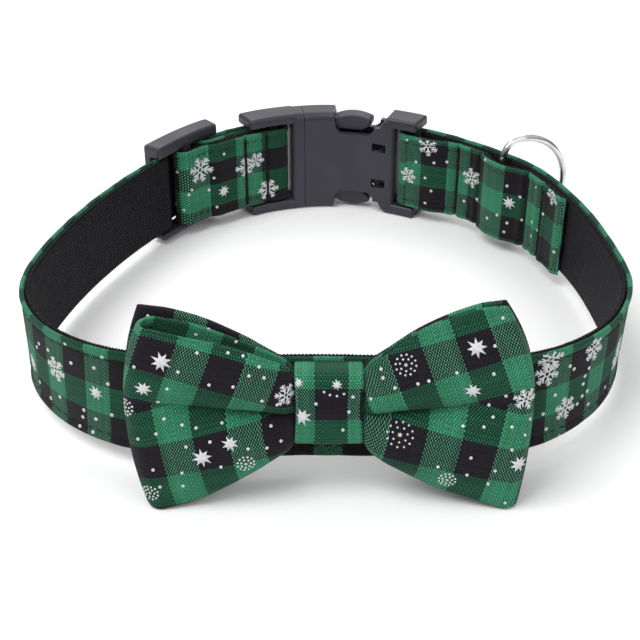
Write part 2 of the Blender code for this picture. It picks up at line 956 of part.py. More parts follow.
def faceDepth(side, out, v):
    crease = tableValue(face_relief, out, 1)
    lobe = tableValue(face_relief, out, 2)
    hollow = loop_hollow * (crease + lobe * lobeShape(v))
    if side > 0:
        hollow *= 1 - right_top_closed * smoothstep(v) * smoothstep(out * 2)
    return rearDepth(out) + front_layer_thickness + gap * 2 + hollow


def backPart(material, collection):
    rows = []
    for side, outs in ((-1, wing_steps[::-1]), (1, wing_steps[1:])):
        for out in outs:
            row = []
            for v in heights:
                across, up = wingPoint(back_wing, side, out, v, 3 if side > 0 else 1)
                row.append(onBow(across, up, backDepth(out) + upright(up, out)))
            rows.append(row)
    made = newObject("bow_back", sheet("bow_back", rows, False), material, collection)
    thicken(made, back_layer_thickness)
    return made


def foldRow(table, side, angle):
    """A row of the rounded fold at a wing's tip, from its rear panel to its front one."""
    row = []
    for v in heights:
        share = (1 + math.sin(angle)) / 2
        rear_across, rear_up = wingPoint(table, side, 1.0, v, 3)
        across, up = wingPoint(table, side, 1.0, v)
        rear, face = rearDepth(1.0), faceDepth(side, 1.0, v)
        radius = (face - rear) / 2
        across = rear_across + (across - rear_across) * share
        across += side * radius * (math.cos(angle) - 1)
        up = rear_up + (up - rear_up) * share
        row.append(onBow(across, up, rear + (face - rear) * share + upright(up, 1.0)))
    return row


def panelRow(table, side, out, front):
    row = []
    for v in heights:
        across, up = wingPoint(table, side, out, v, 1 if front else 3)
        tuck = (faceDepth(side, 1.0, v) - rearDepth(1.0)) / 2 * smoothstep(out)
        depth = faceDepth(side, out, v) if front else rearDepth(out)
        row.append(onBow(across - side * tuck, up, depth + upright(up, out)))
    return row


def frontPart(material, collection):
    rows = []
    fold = [math.pi * (i / 5 - 0.5) for i in range(1, 5)]
    for out in wing_steps[::-1]:
        rows.append(panelRow(left_wing, -1, out, False))
    for out in wing_steps[1:]:
        rows.append(panelRow(right_wing, 1, out, False))
    for angle in fold:
        rows.append(foldRow(right_wing, 1, angle))
    for out in wing_steps[::-1]:
        rows.append(panelRow(right_wing, 1, out, True))
    for out in wing_steps[1:]:
        rows.append(panelRow(left_wing, -1, out, True))
    for angle in fold[::-1]:
        rows.append(foldRow(left_wing, -1, angle))
    made = newObject("bow_front", sheet("bow_front", rows, True), material, collection)
    thicken(made, front_layer_thickness)
    return made


def knotPart(material, collection):
    """A band round the gathered middle: a rounded rectangle, pinched at its long edges."""
    edge = knot_width / bow_length
    front = faceDepth(1, edge, 0.55) + front_layer_thickness / 2 + gap * 1.5 + knot_thickness / 2
    back = gap + knot_thickness / 2
    half_up = (knot_height - knot_thickness) / 2
    half_out = (front - back) / 2
    middle = (front + back) / 2
    radius = min(half_out, half_up) * 0.45
    ring = []
    for corner, (up, out) in enumerate(((1, 1), (-1, 1), (-1, -1), (1, -1))):
        for i in range(5):
            a = math.pi / 2 * (corner + i / 4)
            ring.append(
                (
                    up * (half_up - radius) + radius * math.cos(a),
                    out * (half_out - radius) + radius * math.sin(a),
                )
            )
    rows = []
    for up, out in ring:
        row = []
        for i in range(7):
            share = i / 3 - 1
            pinch = knot_pinch * (1 - (up / half_up) ** 2)
            swell = knot_pinch * (1 - share * share) * (0.5 if out > 0 else 0.0)
            across = share * (knot_width / 2 - pinch)
            row.append(onBow(across, up, middle + out + swell))
        rows.append(row)
    made = newObject("knot_band", sheet("knot_band", rows, True), material, collection)
    thicken(made, knot_thickness)
    return made


def seatOnOrigin(parts):
    """Moves every piece so that the middle of the part's underside is the origin."""
    bpy.context.view_layer.update()
    graph = bpy.context.evaluated_depsgraph_get()
    corners = []
    for made in parts:
        evaluated = made.evaluated_get(graph)
        corners += [made.matrix_world @ Vector(corner) for corner in evaluated.bound_box]
    low = Vector([min(corner[i] for corner in corners) for i in range(3)])
    high = Vector([max(corner[i] for corner in corners) for i in range(3)])
    shift = Vector((-(low.x + high.x) / 2, -(low.y + high.y) / 2, -low.z))
    for made in parts:
        made.location += shift


def main():
    for old in list(bpy.data.objects):
        bpy.data.objects.remove(old)
    collar = bpy.data.collections.new("bow_tie_collar")
    helpers = bpy.data.collections.new("cutters")
    helpers.hide_render = True
    for made in (collar, helpers):
        bpy.context.scene.collection.children.link(made)
    webbing = newMaterial("webbing", (0.02, 0.02, 0.022), 0.85)
    plaid = newMaterial("plaid", (0.02, 0.18, 0.1), 0.8)
    plastic = newMaterial("plastic", (0.045, 0.042, 0.055), 0.45)
    steel = newMaterial("steel", (0.75, 0.75, 0.76), 0.2, 1.0)
    route = strapRoute()
    parts = [
        strip("webbing_strap", route, webbingSection(), webbing, collar),
        strip("plaid_cover", route, coverSection(), plaid, collar),
        femalePart(plastic, collar, helpers),
        malePart(plastic, collar, helpers),
        sliderPart(plastic, collar, helpers),
        ringPart(steel, collar),
        backPart(plaid, collar),
        frontPart(plaid, collar),
        knotPart(plaid, collar),
    ]
    seatOnOrigin(parts)
    for helper in list(helpers.objects):
        bpy.data.objects.remove(helper)


main()
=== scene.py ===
import bisect
import math

import bmesh
import bpy
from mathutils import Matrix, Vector, noise
from mathutils.bvhtree import BVHTree


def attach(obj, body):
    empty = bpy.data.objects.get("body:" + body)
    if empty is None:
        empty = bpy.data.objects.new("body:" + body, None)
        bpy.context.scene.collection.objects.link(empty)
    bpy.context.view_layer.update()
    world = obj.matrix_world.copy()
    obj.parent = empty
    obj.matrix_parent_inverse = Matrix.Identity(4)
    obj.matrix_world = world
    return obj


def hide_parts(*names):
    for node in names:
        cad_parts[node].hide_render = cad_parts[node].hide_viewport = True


# Pet bow tie collar. Sizes are in millimetres, measured from the middle of the
# strap's loop; meshes are scaled to metres and moved to the row frame at the end.
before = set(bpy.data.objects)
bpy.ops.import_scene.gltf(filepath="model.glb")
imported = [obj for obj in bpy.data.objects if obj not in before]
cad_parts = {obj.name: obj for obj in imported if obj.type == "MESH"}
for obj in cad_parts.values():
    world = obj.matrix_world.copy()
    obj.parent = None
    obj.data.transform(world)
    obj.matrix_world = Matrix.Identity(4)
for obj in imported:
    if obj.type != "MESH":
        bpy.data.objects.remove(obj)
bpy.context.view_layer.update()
mm = 0.001
frameShift = Vector((0.365, 8.293, 0.0))
clothMap = "Cloth"  # the UV map of every woven piece, in millimetres of cloth
print("frame loaded:", len(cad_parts), "nodes")

cloth = {
    "cell": 7.9,  # one square of the check
    "warpThreads": 24,  # threads to a square
    "weftThreads": 16,
    # painted highlight: the warp's green is a lighter copy of the weft's green, for the light on the raised
    # warp threads
    "litWarpGreen": (0.075, 0.30, 0.175),
    "weftGreen": (0.008, 0.155, 0.073),
    "black": (0.0120, 0.0098, 0.0140),
    "ink": (0.74, 0.74, 0.77),
    "inkLift": 0.10,
    "printReach": 2.5,  # how far a print follows the cloth to either side
}

strap = {
    "loopWidth": 161.5,
    "loopDepth": 155.0,
    "width": 26.0,
    "webbing": 1.2,
    "low": 0.4,
    "inset": 0.5,
    "cover": 1.0,
    "roll": 0.3,
    "gap": 0.3,
    "frontLift": 5.0,
    "tailEnd": 10.5,
    "foldEnd": 76.5,
    "foldRounds": 9,  # rounds of smoothing for the fold's steps
    "curveSteps": 16,
    "evenRounds": 60,
    "coverStep": 0.6,
    "coverReach": 3.6,
    "webbingStep": 0.45,
    "selvedge": 0.3,
    "tooth": 0.17,  # how far the webbing's edge loops stand out
    "seamDepth": 0.8,
    "seamHalf": 0.9,
    "seamPucker": 0.45,
    "seamLift": 0.2,
    "seamThread": 2.5,  # the cross seams' thread is this much thicker
    "seamReach": 1.9,  # the cover's stations are close together this far about a seam
    "seamPitch": 1.4,
    "seamGap": 0.26,  # each seam is two rows, this far to both sides
    "endTuck": 1.2,  # the cover turns over the webbing's sewn end
    "tuckStart": 0.6,
    "tuckLength": 1.8,
    "tuckIn": 0.35,
    "hem": 3.4,
    "hemRound": 0.85,
    "stitchDip": 0.12,
    "ripple": 0.10,
    "edgeWave": 0.12,
    "stitchLine": 2.7,  # the long stitch rows, from the cover's edges
    "stitchLength": 2.3,
    "stitchGap": 0.7,
    "thread": 0.17,
}

# place, share of half the width, share of half the depth, lean of the top
loopShape = (
    ("bow", 0.00, -0.98, -0.175),
    ("bow right", 0.46, -1.00, -0.15),
    ("front right", 0.70, -0.92, -0.05),
    ("corner right", 0.89, -0.74, 0.03),
    ("side right", 0.99, -0.49, 0.03),
    ("widest right", 0.99, -0.27, 0.01),
    ("flank right", 0.965, -0.01, 0.00),
    ("fold end", 0.92, 0.19, 0.00),
    ("ring front", 0.84, 0.43, 0.00),
    ("ring", 0.72, 0.59, 0.00),
    ("ring back", 0.59, 0.72, 0.00),
    ("female frame", 0.45, 0.83, 0.00),
    ("female box", 0.26, 0.93, 0.00),
    ("buckle", 0.01, 0.99, 0.00),
    ("male base", -0.24, 0.94, 0.00),
    ("male frame", -0.40, 0.85, 0.00),
    ("slider back", -0.555, 0.715, 0.00),
    ("slider front", -0.72, 0.465, 0.00),
    ("flank left", -0.83, 0.24, 0.00),
    ("side left", -0.915, 0.02, 0.00),
    ("widest left", -0.985, -0.24, 0.00),
    ("corner left", -1.01, -0.52, 0.00),
    ("front left", -0.885, -0.785, -0.02),
    ("beside bow", -0.645, -0.95, -0.12),
    ("bow left", -0.38, -0.99, -0.165),
)

buckle = {
    "height": 35.0,
    "thickness": 10.0,
    "seam": -9.5,
    "socketLength": 45.0,
    "socketSlot": 36.5,
    "plugLength": 22.5,
    "plugSlot": 5.0,
    "wall": 2.0,
    "barThickness": 3.0,
    "barWidth": 4.0,
    "bodyPlate": 6.5,
    "foldRoom": 0.8,
    "rail": 3.6,
    "windowStart": 12.5,
    "windowLength": 16.0,
    "windowDepth": 7.0,
    "neckDepth": 4.0,
    "neckLength": 6.0,
    "recess": (5.5, 3.0),
    "recessSpread": 13.0,
    "recessDepth": 3.4,
    "armWidth": 4.0,
    "guideWidth": 7.0,
    "guideLength": 17.0,
    "corner": 2.4,
    "soften": 0.28,  # the socket's edges after its holes are cut
    "crown": 1.0,  # how far the arms stand past the body
    "slice": 1.6,
    "sliceShift": 0.37,  # keeps the cuts for bending off the edges
}

slider = {
    "place": 0.1105,
    "length": 28.0,
    "height": 33.0,
    "raise": 1.0,
    "thickness": 6.6,
    "bar": 3.0,
    "centreBarThickness": 2.0,
    "centreBarWidth": 4.0,
    "centreBarDepth": 2.4,
    "reach": 3.2,
}

ring = {
    "wire": 2.2,
    "insideHeight": 32.6,
    "slack": 1.2,
    "raise": 1.6,
    "reach": 25.0,
    "corner": 6.0,
    "turn": -18.0,
    "fromSlot": 42.5,
    "sides": 28,
    "steps": (14, 8, 72),  # along the straight bar, round a corner, round the bow
}

# Seams across the doubled ends, from the buckle's slots
socketSeams = {"near": 24.0, "before ring": 34.5, "after ring": 55.5, "last": 64.5}
plugSeams = (11.0, 20.0)

strapThickness = strap["webbing"] + strap["gap"] + strap["cover"] + strap["roll"]
backLift = (buckle["height"] - strap["width"]) / 2 - strap["low"]
webbingDepth = strapThickness - strap["webbing"] / 2
coverSide = strap["webbing"] / 2 + strap["gap"]
barTurn = buckle["barThickness"] / 2 + strap["gap"] + strap["webbing"] / 2
barDepth = webbingDepth + barTurn
innerAtBar = barDepth + barTurn
innerSewn = webbingDepth + strap["webbing"] + strap["gap"]
innerAtRing = innerSewn + ring["wire"] + strap["gap"] + ring["slack"]
ringDepth = strapThickness + strap["gap"] + ring["wire"] / 2 + ring["slack"]
layerStep = strapThickness + strap["gap"]
innerByTail = webbingDepth + layerStep + strap["webbing"] + strap["gap"]
centreBarTurn = slider["centreBarThickness"] / 2 + strap["gap"] + strap["webbing"] / 2


def smoothstep(t):
    t = min(max(t, 0.0), 1.0)
    return t * t * (3 - 2 * t)


def bump(distance, half):
    return math.exp(-((distance / half) ** 2))


def tableValue(table, at, column):
    at = min(max(at, table[0][0]), table[-1][0])
    index = 0
    while index < len(table) - 2 and at > table[index + 1][0]:
        index += 1
    first, second = table[index], table[index + 1]
    before = table[max(index - 1, 0)]
    after = table[min(index + 2, len(table) - 1)]
    span = second[0] - first[0]
    t = (at - first[0]) / span
    slopeIn = (second[column] - before[column]) / max(second[0] - before[0], 1e-9) * span
    slopeOut = (after[column] - first[column]) / max(after[0] - first[0], 1e-9) * span
    return (
        (2 * t**3 - 3 * t**2 + 1) * first[column]
        + (t**3 - 2 * t**2 + t) * slopeIn
        + (-2 * t**3 + 3 * t**2) * second[column]
        + (t**3 - t**2) * slopeOut
    )


def closedCurve(points, perSpan):
    made = []
    count = len(points)
    for i in range(count):
        a, b = points[i - 1], points[i]
        c, d = points[(i + 1) % count], points[(i + 2) % count]
        for step in range(perSpan):
            t = step / perSpan
            made.append(
                0.5
                * (
                    2 * b
                    + (c - a) * t
                    + (2 * a - 5 * b + 4 * c - d) * t**2
                    + (3 * b - 3 * c + d - a) * t**3
                )
            )
    return made


def evened(points, rounds):
    for _ in range(rounds):
        points = [
            points[i] * 0.5 + (points[i - 1] + points[(i + 1) % len(points)]) * 0.25
            for i in range(len(points))
        ]
    return points


class Loop:
    # the strap's outer face in plan; s runs from the bow's middle by the right
    def __init__(self):
        rows = [
            Vector((across * strap["loopWidth"] / 2, back * strap["loopDepth"] / 2, lean * strap["width"]))
            for _, across, back, lean in loopShape
        ]
        self.points = evened(closedCurve(rows, strap["curveSteps"]), strap["evenRounds"])
        self.length = 0.0
        self.marks = [0.0]
        for i, point in enumerate(self.points):
            following = self.points[(i + 1) % len(self.points)]
            self.length += (following.xy - point.xy).length
            self.marks.append(self.length)

    def at(self, s):
        s = s % self.length
        low = min(bisect.bisect_right(self.marks, s) - 1, len(self.points) - 1)
        t = (s - self.marks[low]) / (self.marks[low + 1] - self.marks[low])
        count = len(self.points)
        first, second = self.points[low], self.points[(low + 1) % count]
        here = second.xy - self.points[low - 1].xy
        turn = here.lerp(self.points[(low + 2) % count].xy - first.xy, t)
        point = first.lerp(second, t)
        turn.normalize()
        return point.xy, Vector((turn.y, -turn.x)), point.z


loop = Loop()
backS = max((loop.length * i / 400 for i in range(400)), key=lambda s: loop.at(s)[0].y)
seamS = backS - buckle["seam"]
plugSlotS = seamS + buckle["plugSlot"]
socketSlotS = seamS - buckle["socketSlot"]
ringS = socketSlotS - ring["fromSlot"]
sliderS = backS + slider["place"] * loop.length


def strapBottom(point):
    share = (strap["loopDepth"] / 2 - point.y) / strap["loopDepth"]
    return backLift + (strap["frontLift"] - backLift) * share


def onStrap(s, o, h):
    # h above the strap's lower edge, o outside its outer face
    point, normal, lean = loop.at(s)
    plan = point + normal * (o + lean * (h / strap["width"] - 0.5))
    return Vector((plan.x, plan.y, strapBottom(point) + h))


def onFloor(s, o, z):
    point, normal, _ = loop.at(s)
    plan = point + normal * o
    return Vector((plan.x, plan.y, z))


# Mesh and object helpers


def intoFrame(point):
    return (point + frameShift) * mm


def asObject(name, mesh):
    made = bpy.data.objects.new(name, mesh)
    bpy.context.scene.collection.objects.link(made)
    return made


def addObject(name, mesh, material, node=None, body="collar"):
    made = asObject(name, mesh)
    mesh.materials.append(material)
    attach(made, body)
    if node:
        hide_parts(node)
    return made


def treeOf(made):
    corners = [vert.co for vert in made.data.vertices]
    return BVHTree.FromPolygons(corners, [face.vertices[:] for face in made.data.polygons])


def meshFrom(name, points, faces, uvs=None):
    # uvs holds one list of corner values for each face
    mesh = bpy.data.meshes.new(name)
    mesh.from_pydata([intoFrame(p) for p in points], [], faces)
    if uvs:
        layer = mesh.uv_layers.new(name=clothMap)
        layer.data.foreach_set("uv", [value for face in uvs for corner in face for value in corner])
    shape = bmesh.new()
    shape.from_mesh(mesh)
    bmesh.ops.recalc_face_normals(shape, faces=shape.faces)
    shape.to_mesh(mesh)
    shape.free()
    mesh.shade_smooth()
    return mesh


def polar(reach, angle):
    return reach * math.cos(angle), reach * math.sin(angle)


def turned(x, y, angle):
    return x * math.cos(angle) - y * math.sin(angle), x * math.sin(angle) + y * math.cos(angle)


def facedFrom(normal, direction):
    # the normal on the side that a ray in this direction comes from
    return -normal if normal.dot(direction) > 0 else normal


def bandFaces(sides, first, second):
    # the quads between two rings of corners, from the number of each ring's first
    return [(first + j, first + (j + 1) % sides, second + (j + 1) % sides, second + j) for j in range(sides)]


def sweep(name, places, section, pointOf, uvOf):
    # a closed section carried from place to place, with capped ends
    sides = len(section)
    points = [pointOf(i, place, corner) for i, place in enumerate(places) for corner in section]
    faces, uvs = [], []
    for i, (first, second) in enumerate(zip(places, places[1:])):
        faces += bandFaces(sides, i * sides, (i + 1) * sides)
        for j, here in enumerate(section):
            following = section[(j + 1) % sides]
            corners = ((first, here), (first, following), (second, following), (second, here))
            uvs.append([uvOf(place, corner) for place, corner in corners])
    for i in (0, len(places) - 1):
        faces.append(tuple(range(i * sides, (i + 1) * sides)))
        uvs.append([uvOf(places[i], corner) for corner in section])
    return meshFrom(name, points, faces, uvs)


# Shader tools


class Wiring:
    # short names for the nodes that the groups and materials are wired from
    def __init__(self, tree):
        self.tree = tree

    def node(self, kind, **settings):
        made = self.tree.nodes.new(kind)
        for name, value in settings.items():
            setattr(made, name, value)
        return made

    def feed(self, value, socket):
        if isinstance(value, bpy.types.NodeSocket):
            self.tree.links.new(value, socket)
        elif value is not None:
            socket.default_value = value

    def number(self, operation, first, second=None, third=None):
        made = self.node("ShaderNodeMath", operation=operation)
        for value, socket in zip((first, second, third), made.inputs):
            self.feed(value, socket)
        return made.outputs[0]

    def times(self, first, second):
        return self.number("MULTIPLY", first, second)

    def plus(self, first, second):
        return self.number("ADD", first, second)

    def vector(self, operation, first, second=None):
        made = self.node("ShaderNodeVectorMath", operation=operation)
        self.feed(first, made.inputs[0])
        self.feed(second, made.inputs[1])
        return made.outputs[0]

    def scaled(self, vector, factor):
        made = self.node("ShaderNodeVectorMath", operation="SCALE")
        self.feed(vector, made.inputs[0])
        self.feed(factor, made.inputs["Scale"])
        return made.outputs[0]

    def ranged(self, value, low, high, toLow=0.0, toHigh=1.0, smooth=True):
        made = self.node("ShaderNodeMapRange")
        made.interpolation_type = "SMOOTHSTEP" if smooth else "LINEAR"
        for amount, socket in zip((value, low, high, toLow, toHigh), made.inputs):
            self.feed(amount, socket)
        return made.outputs[0]

    def mixed(self, share, first, second):
        made = self.node("ShaderNodeMix", data_type="RGBA")
        self.feed(share, made.inputs[0])
        self.feed(first, made.inputs[6])
        self.feed(second, made.inputs[7])
        return made.outputs[2]

    def grain(self, vector, scale, detail=2.0, output=0):
        made = self.node("ShaderNodeTexNoise")
        self.feed(vector, made.inputs["Vector"])
        made.inputs["Scale"].default_value = scale
        made.inputs["Detail"].default_value = detail
        return made.outputs[output]

    def parity(self, value):
        return self.number("FLOORED_MODULO", self.number("FLOOR", value), 2.0)

    def group(self, tree, **inputs):
        made = self.node("ShaderNodeGroup")
        made.node_tree = tree
        for name, value in inputs.items():
            self.feed(value, made.inputs[name.replace("_", " ")])
        return made.outputs


def newGroup(name, inputs, outputs):
    tree = bpy.data.node_groups.new(name, "ShaderNodeTree")
    kinds = {"vector": "NodeSocketVector", "number": "NodeSocketFloat", "color": "NodeSocketColor"}
    for way, sockets in (("INPUT", inputs), ("OUTPUT", outputs)):
        for label, kind, value in sockets:
            made = tree.interface.new_socket(name=label, in_out=way, socket_type=kinds[kind])
            if value is not None:
                made.default_value = value
    wires = Wiring(tree)
    return tree, wires, wires.node("NodeGroupInput").outputs, wires.node("NodeGroupOutput").inputs


def wovenThreads():
    # over and under threads; the weft shows more than the warp by Weft Cover
    tree, w, given, out = newGroup(
        "woven threads",
        [
            ("Vector", "vector", None),
            ("Warp Pitch", "number", 0.36),
            ("Weft Pitch", "number", 0.39),
            ("Weft Cover", "number", 0.2),
            ("Waviness", "number", 0.1),
        ],
        [(label, "number", None) for label in ("Warp Above", "Height", "Warp Shade", "Weft Shade")],
    )
    drift = w.vector("SUBTRACT", w.grain(given["Vector"], 0.55, 1.0, 1), (0.5, 0.5, 0.5))
    moved = w.vector("ADD", given["Vector"], w.scaled(drift, given["Waviness"]))
    parts = w.node("ShaderNodeSeparateXYZ")
    w.feed(moved, parts.inputs[0])
    a = w.number("DIVIDE", parts.outputs[0], given["Warp Pitch"])
    b = w.number("DIVIDE", parts.outputs[1], given["Weft Pitch"])
    heights, shades = [], []
    for own, other, sign in ((a, b, 1), (b, a, -1)):
        across = w.number("SUBTRACT", w.number("FRACT", own), 0.5)
        roundness = w.times(w.times(across, across), -3.4)
        wave = w.number("SINE", w.times(other, math.pi))
        turn = w.number("MULTIPLY_ADD", w.parity(own), -2.0, 1.0)
        rise = w.times(w.times(wave, turn), sign * 0.8)
        heights.append(w.plus(w.plus(roundness, rise), 1.0))
        shade = w.node("ShaderNodeTexWhiteNoise", noise_dimensions="1D")
        w.feed(w.number("FLOOR", own), shade.inputs["W"])
        shades.append(shade.outputs["Value"])
    weft = w.plus(heights[1], given["Weft Cover"])
    w.feed(w.number("SUBTRACT", heights[0], weft), out["Warp Above"])
    w.feed(w.number("MAXIMUM", heights[0], weft), out["Height"])
    w.feed(shades[0], out["Warp Shade"])
    w.feed(shades[1], out["Weft Shade"])
    return tree


def checkedCloth(threads):
    # a green and black check of equal bands both ways
    tree, w, given, out = newGroup(
        "checked cloth",
        [
            ("Vector", "vector", None),
            ("Cell", "number", cloth["cell"]),
            ("Lit Warp Green", "color", (*cloth["litWarpGreen"], 1)),
            ("Weft Green", "color", (*cloth["weftGreen"], 1)),
            ("Black", "color", (*cloth["black"], 1)),
            ("Black Cover", "number", 0.7),
        ],
        [("Color", "color", None), ("Height", "number", None), ("Fuzz", "number", None)],
    )
    woven = w.group(
        threads,
        Vector=given["Vector"],
        Warp_Pitch=w.number("DIVIDE", given["Cell"], float(cloth["warpThreads"])),
        Weft_Pitch=w.number("DIVIDE", given["Cell"], float(cloth["weftThreads"])),
    )
    parts = w.node("ShaderNodeSeparateXYZ")
    w.feed(given["Vector"], parts.inputs[0])
    colors, bands = [], []
    # the warp's green is the lighter copy, a painted highlight on the raised warp threads
    for axis, green, shade in ((0, "Lit Warp Green", "Warp Shade"), (1, "Weft Green", "Weft Shade")):
        band = w.parity(w.number("DIVIDE", parts.outputs[axis], given["Cell"]))
        bands.append(band)
        dyed = w.mixed(band, given["Black"], given[green])
        tone = w.ranged(woven[shade], 0.0, 1.0, 0.76, 1.24, smooth=False)
        colors.append(w.scaled(dyed, tone))
    # the black yarn is the thicker, so it covers more of the green than it gives up
    uneven = w.times(w.number("SUBTRACT", bands[1], bands[0]), given["Black Cover"])
    warpOnTop = w.ranged(w.plus(woven["Warp Above"], uneven), -0.12, 0.12)
    top = w.mixed(warpOnTop, colors[1], colors[0])
    # painted shade: the colour is darkened in the hollows between the threads and lifted a little on their
    # crests as a painted highlight
    gapShade = w.ranged(woven["Height"], 0.35, 1.25, 0.12, 1.05)
    fibres = w.grain(given["Vector"], 5.5, 3.0)
    worn = w.grain(given["Vector"], 0.12, 2.0)
    tone = w.times(gapShade, w.ranged(fibres, 0.25, 0.75, 0.78, 1.18))
    tone = w.times(tone, w.ranged(worn, 0.3, 0.7, 0.93, 1.07))
    w.feed(w.scaled(top, tone), out["Color"])
    w.feed(w.number("MULTIPLY_ADD", fibres, 0.25, woven["Height"]), out["Height"])
    w.feed(w.ranged(fibres, 0.2, 0.8, 0.0, 1.0), out["Fuzz"])
    return tree


def mouldedSurface():
    # fine spark-eroded grain and soft handling marks, from the object's own place
    tree, w, given, out = newGroup(
        "moulded surface",
        [("Grain Size", "number", 0.12), ("Wear", "number", 0.5)],
        [("Tone", "number", None), ("Roughness", "number", None), ("Height", "number", None)],
    )
    place = w.node("ShaderNodeTexCoord").outputs["Object"]
    size = w.number("DIVIDE", 1000.0, given["Grain Size"])
    pits = w.grain(w.scaled(place, size), 0.35, 3.0)
    marks = w.grain(w.scaled(place, 1000.0), 0.09, 4.0)
    rubbed = w.ranged(marks, 0.45, 0.75)
    w.feed(w.number("MULTIPLY_ADD", rubbed, 0.12, w.ranged(pits, 0.2, 0.8, 0.92, 1.04)), out["Tone"])
    rough = w.times(rubbed, w.times(given["Wear"], -0.12))
    w.feed(w.plus(rough, w.ranged(pits, 0.2, 0.8, 0.40, 0.52)), out["Roughness"])
    w.feed(pits, out["Height"])
    return tree


threadsGroup = wovenThreads()
checkGroup = checkedCloth(threadsGroup)
mouldGroup = mouldedSurface()


def newMaterial(name, **constants):
    material = bpy.data.materials.new(name)
    material.use_nodes = True
    shader = material.node_tree.nodes["Principled BSDF"]
    for label, value in constants.items():
        shader.inputs[label.replace("_", " ")].default_value = value
    return material, Wiring(material.node_tree), shader


def dress(w, shader, color, roughness, height, depth, strength):
    # the relief's depth is in millimetres
    w.feed(color, shader.inputs["Base Color"])
    w.feed(roughness, shader.inputs["Roughness"])
    relief = w.node("ShaderNodeBump")
    relief.inputs["Strength"].default_value = strength
    relief.inputs["Distance"].default_value = depth * mm
    w.feed(height, relief.inputs["Height"])
    w.feed(relief.outputs[0], shader.inputs["Normal"])


def clothPlace(w):
    return w.node("ShaderNodeUVMap", uv_map=clothMap).outputs[0]


def objectPlace(w):
    return w.scaled(w.node("ShaderNodeTexCoord").outputs["Object"], 1.0 / mm)


# Relief depths are in millimetres, each with the strength of its bump

cottonFinish = {
    "roughness": (0.82, 0.96),
    "relief": (0.16, 0.7),
}


def checkMaterial():
    material, w, shader = newMaterial(
        "checked cotton", Sheen_Weight=0.06, Sheen_Roughness=0.5, Specular_IOR_Level=0.12
    )
    made = w.group(checkGroup, Vector=clothPlace(w))
    roughness = w.ranged(made["Fuzz"], 0.0, 1.0, *cottonFinish["roughness"])
    dress(w, shader, made["Color"], roughness, made["Height"], *cottonFinish["relief"])
    return material


inkFinish = {
    "full": (*cloth["ink"], 1),
    "thin": (0.16, 0.17, 0.18, 1),
    "roughness": (0.5, 0.75),
    "relief": (0.12, 0.6),
}


def inkMaterial():
    # a rubber print over the weave, thin where the threads dip
    material, w, shader = newMaterial("printed white", Specular_IOR_Level=0.3)
    place = clothPlace(w)
    pitches = {
        "Warp_Pitch": cloth["cell"] / cloth["warpThreads"],
        "Weft_Pitch": cloth["cell"] / cloth["weftThreads"],
    }
    woven = w.group(threadsGroup, Vector=place, **pitches)
    speck = w.grain(place, 3.2, 3.0)
    dips = w.ranged(woven["Height"], 0.5, 1.2, 0.72, 1.0)
    cover = w.times(dips, w.ranged(speck, 0.32, 0.6, 0.72, 1.0))
    color = w.mixed(cover, inkFinish["thin"], inkFinish["full"])
    roughness = w.ranged(speck, 0.2, 0.8, *inkFinish["roughness"])
    dress(w, shader, color, roughness, woven["Height"], *inkFinish["relief"])
    return material


webbingFinish = {
    "color": (0.0070, 0.0060, 0.0082),
    "pitches": {"Warp_Pitch": 1.25, "Weft_Pitch": 1.05},
    "roughness": (0.55, 0.75),
    "relief": (0.55, 1.0),
}


def webbingMaterial():
    material, w, shader = newMaterial(
        "black webbing", Sheen_Weight=0.02, Sheen_Roughness=0.4, Specular_IOR_Level=0.12
    )
    place = clothPlace(w)
    woven = w.group(threadsGroup, Vector=place, Weft_Cover=-0.1, Waviness=0.12, **webbingFinish["pitches"])
    fibres = w.grain(place, 7.0, 3.0)
    # painted shade and highlight: the webbing's colour goes from black in the hollows between its threads to
    # over twice as light on their crests
    tone = w.times(w.ranged(woven["Height"], 0.3, 1.75, 0.0, 2.3), w.ranged(fibres, 0.2, 0.8, 0.75, 1.3))
    tone = w.times(tone, w.ranged(woven["Warp Shade"], 0.0, 1.0, 0.85, 1.15))
    height = w.number("MULTIPLY_ADD", fibres, 0.2, woven["Height"])
    roughness = w.ranged(fibres, 0.2, 0.8, *webbingFinish["roughness"])
    dress(w, shader, w.scaled(webbingFinish["color"], tone), roughness, height, *webbingFinish["relief"])
    return material


threadFinish = {
    "dark": (0.003, 0.003, 0.0035, 1),
    "light": (0.011, 0.011, 0.012, 1),
    "roughness": (0.6, 0.8),
    "relief": (0.05, 0.5),
}


def threadMaterial():
    material, w, shader = newMaterial("black thread", Sheen_Weight=0.03, Specular_IOR_Level=0.2)
    twist = w.grain(objectPlace(w), 3.0, 2.0)
    color = w.mixed(w.ranged(twist, 0.3, 0.7), threadFinish["dark"], threadFinish["light"])
    roughness = w.ranged(twist, 0.2, 0.8, *threadFinish["roughness"])
    dress(w, shader, color, roughness, twist, *threadFinish["relief"])
    return material


plasticFinish = {
    "color": (0.0245, 0.0225, 0.034),
    "grain": 0.12,
    "wear": 0.6,
    "relief": (0.02, 0.35),
}


def plasticMaterial():
    material, w, shader = newMaterial("moulded plastic", Specular_IOR_Level=0.5)
    made = w.group(mouldGroup, Grain_Size=plasticFinish["grain"], Wear=plasticFinish["wear"])
    color = w.scaled(plasticFinish["color"], made["Tone"])
    dress(w, shader, color, made["Roughness"], made["Height"], *plasticFinish["relief"])
    return material


steelFinish = {
    "dull": (0.62, 0.62, 0.63, 1),
    "bright": (0.78, 0.78, 0.79, 1),
    "roughness": (0.10, 0.17),
    "scratch": 0.08,  # how much rougher the scratches are
    "relief": (0.01, 0.15),
}


